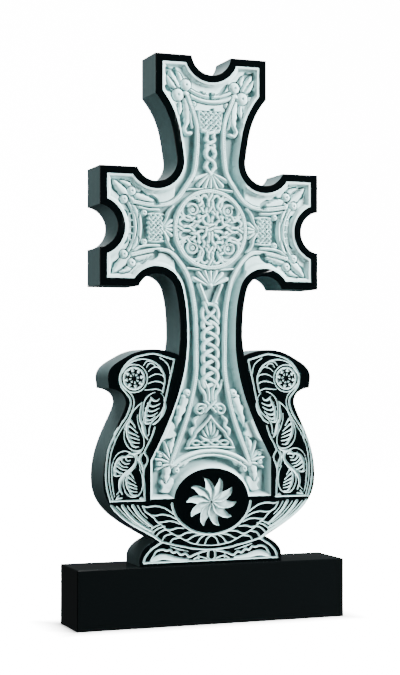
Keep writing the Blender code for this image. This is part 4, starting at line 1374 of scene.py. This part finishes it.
class Graph:
    """A material's nodes, made one at a time."""

    def __init__(self, name: str) -> None:
        """Start a material with only a Principled shader."""
        self.material = bpy.data.materials.new(name)
        self.material.use_nodes = True
        self.tree = self.material.node_tree
        self.shader = self.tree.nodes["Principled BSDF"]

    def feed(self, socket: bpy.types.NodeSocket, value: object) -> None:
        """Link a signal to a socket, or set the socket's own value."""
        if isinstance(value, Signal):
            self.tree.links.new(value.socket, socket)
        else:
            socket.default_value = value

    def node(self, kind: str, settings: dict | None = None, inputs: dict | None = None,
             output: int | str = 0) -> Signal:
        """Make a node.

        Args:
            kind: the node's type.
            settings: its own settings, set first.
            inputs: values or signals for its sockets, by name or number.
            output: which of its outputs to return.

        Returns:
            The output as a signal.
        """
        made = self.tree.nodes.new(kind)
        for name, value in (settings or {}).items():
            setattr(made, name, value)
        for name, value in (inputs or {}).items():
            self.feed(made.inputs[name], value)
        return Signal(self, made.outputs[output])

    def place(self) -> Signal:
        """Object coordinates, in metres."""
        return self.node("ShaderNodeTexCoord", output="Object")

    def noise(self, scale: float, detail: float = 3.0, rough: float = 0.5) -> Signal:
        """Cloudy noise from 0 to 1, with scale features a metre."""
        return self.node("ShaderNodeTexNoise", inputs={"Vector": self.place(), "Scale": scale,
                                                       "Detail": detail, "Roughness": rough})

    def blend(self, share: Signal, first: object, second: object) -> Signal:
        """A colour between two others."""
        made = self.tree.nodes.new("ShaderNodeMix")
        made.data_type = "RGBA"
        self.feed(made.inputs["Factor"], share)
        colours = [s for s in made.inputs if s.type == "RGBA"]
        for socket, colour in zip(colours, (first, second)):
            self.feed(socket, colour)
        return Signal(self, next(s for s in made.outputs if s.type == "RGBA"))

    def bump(self, height: Signal, distance: float, strength: float = 1.0) -> None:
        """Ruffle the surface by a height signal, in metres."""
        normal = self.node("ShaderNodeBump", inputs={"Height": height, "Distance": distance,
                                                     "Strength": strength}, output="Normal")
        self.feed(self.shader.inputs["Normal"], normal)

    def finish(self, **sockets: object) -> bpy.types.Material:
        """Set the shader's sockets by name, with spaces written as underscores."""
        for name, value in sockets.items():
            self.feed(self.shader.inputs[name.replace("_", " ")], value)
        return self.material


@dataclass(frozen=True)
class PolishedStone:
    """Black granite with a mirror polish and a scatter of tiny grey crystals."""

    name: str = "polished_black"
    dark: Colour = (0.0004, 0.0010, 0.0012, 1.0)
    fleck: Colour = (0.0016, 0.0032, 0.0036, 1.0)
    roughness: float = 0.09
    gloss: float = 0.12

    def make(self) -> bpy.types.Material:
        """Build the material."""
        graph = Graph(self.name)
        grain = graph.noise(900.0, 2.0, 0.6)
        share = ((grain - 0.60) * 6.0).held(0.0, 1.0)
        haze = graph.noise(14.0, 3.0)
        return graph.finish(Base_Color=graph.blend(share, self.dark, self.fleck),
                            Roughness=self.roughness + 0.06 * haze,
                            Specular_IOR_Level=self.gloss)


@dataclass(frozen=True)
class SawnStone:
    """The honed side of the slab: matt grey-green with a faint grain, with painted shade darkening
    it down by the foot.
    """

    name: str = "honed_side"
    pale: Colour = (0.131, 0.200, 0.204, 1.0)
    dark: Colour = (0.095, 0.154, 0.160, 1.0)
    roughness: float = 0.62
    # painted shade: the colour the sides darken to near the foot
    foot: Colour = (0.014, 0.022, 0.023, 1.0)
    foot_shade_height: float = 0.47
    foot_shade_fade: float = 3.2

    def make(self) -> bpy.types.Material:
        """Build the material."""
        graph = Graph(self.name)
        cloud = graph.noise(9.0, 4.0, 0.55)
        grain = graph.noise(700.0, 2.0, 0.6)
        share = (0.65 * cloud + 0.35 * grain).held(0.0, 1.0)
        height = graph.node("ShaderNodeSeparateXYZ", inputs={0: graph.place()}, output="Z")
        # painted shade: the sides darken below this height towards the foot
        low = (self.foot_shade_fade * (self.foot_shade_height - height)).held(0.0, 0.75)
        graph.bump(grain, 0.00015, 0.6)
        stone = graph.blend(share, self.dark, self.pale)
        return graph.finish(Base_Color=graph.blend(low, stone, self.foot),
                            Roughness=self.roughness + 0.10 * grain,
                            Specular_IOR_Level=0.12)


@dataclass(frozen=True)
class CarvedStone:
    """Frosted stone where the chisel and the blast took the polish off."""

    pale: Colour = (0.600, 0.820, 0.815, 1.0)
    worn: Colour = (0.450, 0.650, 0.645, 1.0)
    # painted shade: the darker colour of the field's deep floor
    floor: Colour = (0.270, 0.415, 0.415, 1.0)
    # painted shade: the colour the hollows darken to
    painted_shade_colour: Colour = (0.145, 0.240, 0.242, 1.0)
    roughness: float = 0.78
    # painted shade: how strongly the hollow darkens, and the hollow it starts at
    hollow_shade: float = 0.14
    shade_threshold: float = 0.03

    def make(self) -> bpy.types.Material:
        """Build the material: cloudy frosting, a fine pecked grain, painted shade in the hollows
        and on the field's deep ground.
        """
        graph = Graph("carved_frosted")
        cloud = graph.noise(35.0, 4.0, 0.6)
        peck = graph.noise(520.0, 3.0, 0.65)
        hollow = graph.node("ShaderNodeAttribute", {"attribute_name": "hollow"}, output="Fac")
        ground = graph.node("ShaderNodeAttribute", {"attribute_name": "ground"}, output="Fac")
        # painted shade in the hollows
        shade = (self.hollow_shade * hollow - self.shade_threshold).held(0.0, 0.85)
        colour = graph.blend((1.6 * cloud - 0.3).held(0.0, 1.0), self.worn, self.pale)
        # painted shade on the field's deep floor
        colour = graph.blend(ground.held(0.0, 1.0), colour, self.floor)
        graph.bump(peck + 0.5 * cloud, 0.0004, 0.7)
        return graph.finish(Base_Color=graph.blend(shade, colour, self.painted_shade_colour),
                            Roughness=self.roughness + 0.08 * peck,
                            Specular_IOR_Level=0.3)


@dataclass
class Plinth:
    """The polished block, kept as the frame has it and given its finish."""

    node: str = "plinth"

    def dress(self, stone: bpy.types.Material) -> None:
        """Put the stone in every material slot of the node."""
        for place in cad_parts[self.node].material_slots:
            place.material = stone


@dataclass
class Studio:
    """A pale floor that sweeps up behind, soft lights, and the camera at the photograph's angle."""

    eye: Triple = (-1.3329, -3.4414, 0.5878)
    yaw: float = 0.3669
    pitch: float = 0.0233
    lens: float = 82.16
    aim: Triple = (0.0, 0.0, 0.75)
    floor_ends: Pair = (-9.0, 6.0)
    bend: float = 3.0
    wall_top: float = 9.0
    half_width: float = 14.0
    plinth_half: Pair = (0.335, 0.07)
    sky: float = 0.08
    backdrop: float = 20.0
    lamps: tuple[tuple[str, Triple, float, float], ...] = (
        ("key", (3.34, -2.34, 2.65), 1.4, 1400.0), ("top", (0.4, 0.3, 4.8), 2.4, 480.0),
        ("fill", (-4.0, -1.2, 1.6), 2.4, 62.0), ("rear", (-0.4, 3.4, 4.4), 2.4, 260.0))

    def floor(self) -> None:
        """A floor that turns up behind in a quarter circle, as one smooth glowing sheet.

        The glow leaves a dim band beside the plinth as its painted shadow: it grows with the
        distance from the plinth's sides.
        """
        front, back = self.floor_ends
        v = np.linspace(0.0, math.pi / 2, 24)[1:]
        y = np.concatenate([[front, back], back + self.bend * np.sin(v), [back + self.bend]])
        z = np.concatenate([[0.0, 0.0], self.bend - self.bend * np.cos(v), [self.wall_top]])
        left = np.column_stack([np.full(len(y), -self.half_width), y, z])
        right = left * (-1.0, 1.0, 1.0)
        n = len(y)
        i = np.arange(n - 1)
        faces = np.column_stack([i, n + i, n + i + 1, i + 1])
        made = new_object("floor", np.vstack([left, right]), faces.ravel(), np.full(len(faces), 4))
        made.data.shade_smooth()
        graph = Graph("pale_floor")
        axes = graph.node("ShaderNodeSeparateXYZ", inputs={0: graph.place()})
        x = axes.absolute() - self.plinth_half[0]
        y = Signal(graph, axes.socket.node.outputs[1]).absolute() - self.plinth_half[1]
        # painted shadow: the glow fades to nothing at the plinth's sides
        glow = (axes.combine("MAXIMUM", x, y) * 14.0).held(0.0, 1.0)
        made.data.materials.append(graph.finish(
            Base_Color=(0.93, 0.94, 0.94, 1.0), Roughness=0.9, Specular_IOR_Level=0.1,
            Emission_Color=graph.blend(glow, (0.0, 0.0, 0.0, 1.0), (1.0, 1.0, 1.0, 1.0)),
            Emission_Strength=15.0))
        made.visible_diffuse = made.visible_glossy = False

    def lamp(self, name: str, place: Triple, size: float, power: float) -> None:
        """A square white area light aimed at the stone."""
        light = bpy.data.lights.new(name, "AREA")
        light.size, light.energy = size, power
        made = bpy.data.objects.new(name, light)
        bpy.context.scene.collection.objects.link(made)
        made.location = place
        made.rotation_mode = "QUATERNION"
        made.rotation_quaternion = (Vector(self.aim) - Vector(place)).to_track_quat("-Z", "Y")
        made.visible_camera = False

    def world(self) -> None:
        """White to the camera, and a dim even sky for everything else."""
        world = bpy.data.worlds.new("studio")
        bpy.context.scene.world = world
        world.use_nodes = True
        tree = world.node_tree
        seen = tree.nodes.new("ShaderNodeLightPath")
        sky = tree.nodes["Background"]
        white = tree.nodes.new("ShaderNodeBackground")
        mixed = tree.nodes.new("ShaderNodeMixShader")
        sky.inputs["Color"].default_value = (0.86, 0.95, 0.96, 1.0)
        sky.inputs["Strength"].default_value = self.sky
        white.inputs["Color"].default_value = (1.0, 1.0, 1.0, 1.0)
        white.inputs["Strength"].default_value = self.backdrop
        tree.links.new(seen.outputs["Is Camera Ray"], mixed.inputs[0])
        tree.links.new(sky.outputs[0], mixed.inputs[1])
        tree.links.new(white.outputs[0], mixed.inputs[2])
        tree.links.new(mixed.outputs[0], tree.nodes["World Output"].inputs["Surface"])

    def camera(self) -> None:
        """The camera: forward is (sin yaw cos pitch, cos yaw cos pitch, sin pitch), and no roll."""
        data = bpy.data.cameras.new("camera")
        data.lens = self.lens
        made = bpy.data.objects.new("camera", data)
        bpy.context.scene.collection.objects.link(made)
        ahead = Vector((math.sin(self.yaw) * math.cos(self.pitch),
                        math.cos(self.yaw) * math.cos(self.pitch), math.sin(self.pitch)))
        turn = ahead.to_track_quat("-Z", "Y").to_matrix().to_4x4()
        made.matrix_world = Matrix.Translation(self.eye) @ turn
        bpy.context.scene.camera = made

    def build(self) -> None:
        """Set up the camera, the floor and the lights."""
        self.camera()
        self.floor()
        self.world()
        for lamp in self.lamps:
            self.lamp(*lamp)


def main() -> None:
    """Build the studio and dress both stones."""
    logging.basicConfig(level=logging.INFO, format="%(name)s: %(message)s")
    Studio().build()
    polished = PolishedStone().make()
    finishes = {Face.POLISHED: polished, Face.SAWN: SawnStone().make(),
                Face.BACK: SawnStone("sawn_back", (0.042, 0.062, 0.062, 1.0),
                                     (0.030, 0.047, 0.047, 1.0), 0.72).make(),
                Face.CARVED: CarvedStone().make()}
    stele = Stele()
    piece = stele.build()
    stele.dress(piece, finishes)
    piece.data.calc_loop_triangles()
    LOG.info("%s: %d triangles", piece.name, len(piece.data.loop_triangles))
    Plinth().dress(PolishedStone("polished_plinth", (0.0021, 0.0029, 0.0031, 1.0),
                                 (0.0050, 0.0068, 0.0072, 1.0), 0.09, 0.05).make())
    LOG.info("plinth: dressed")


if __name__ == "__main__":
    main()
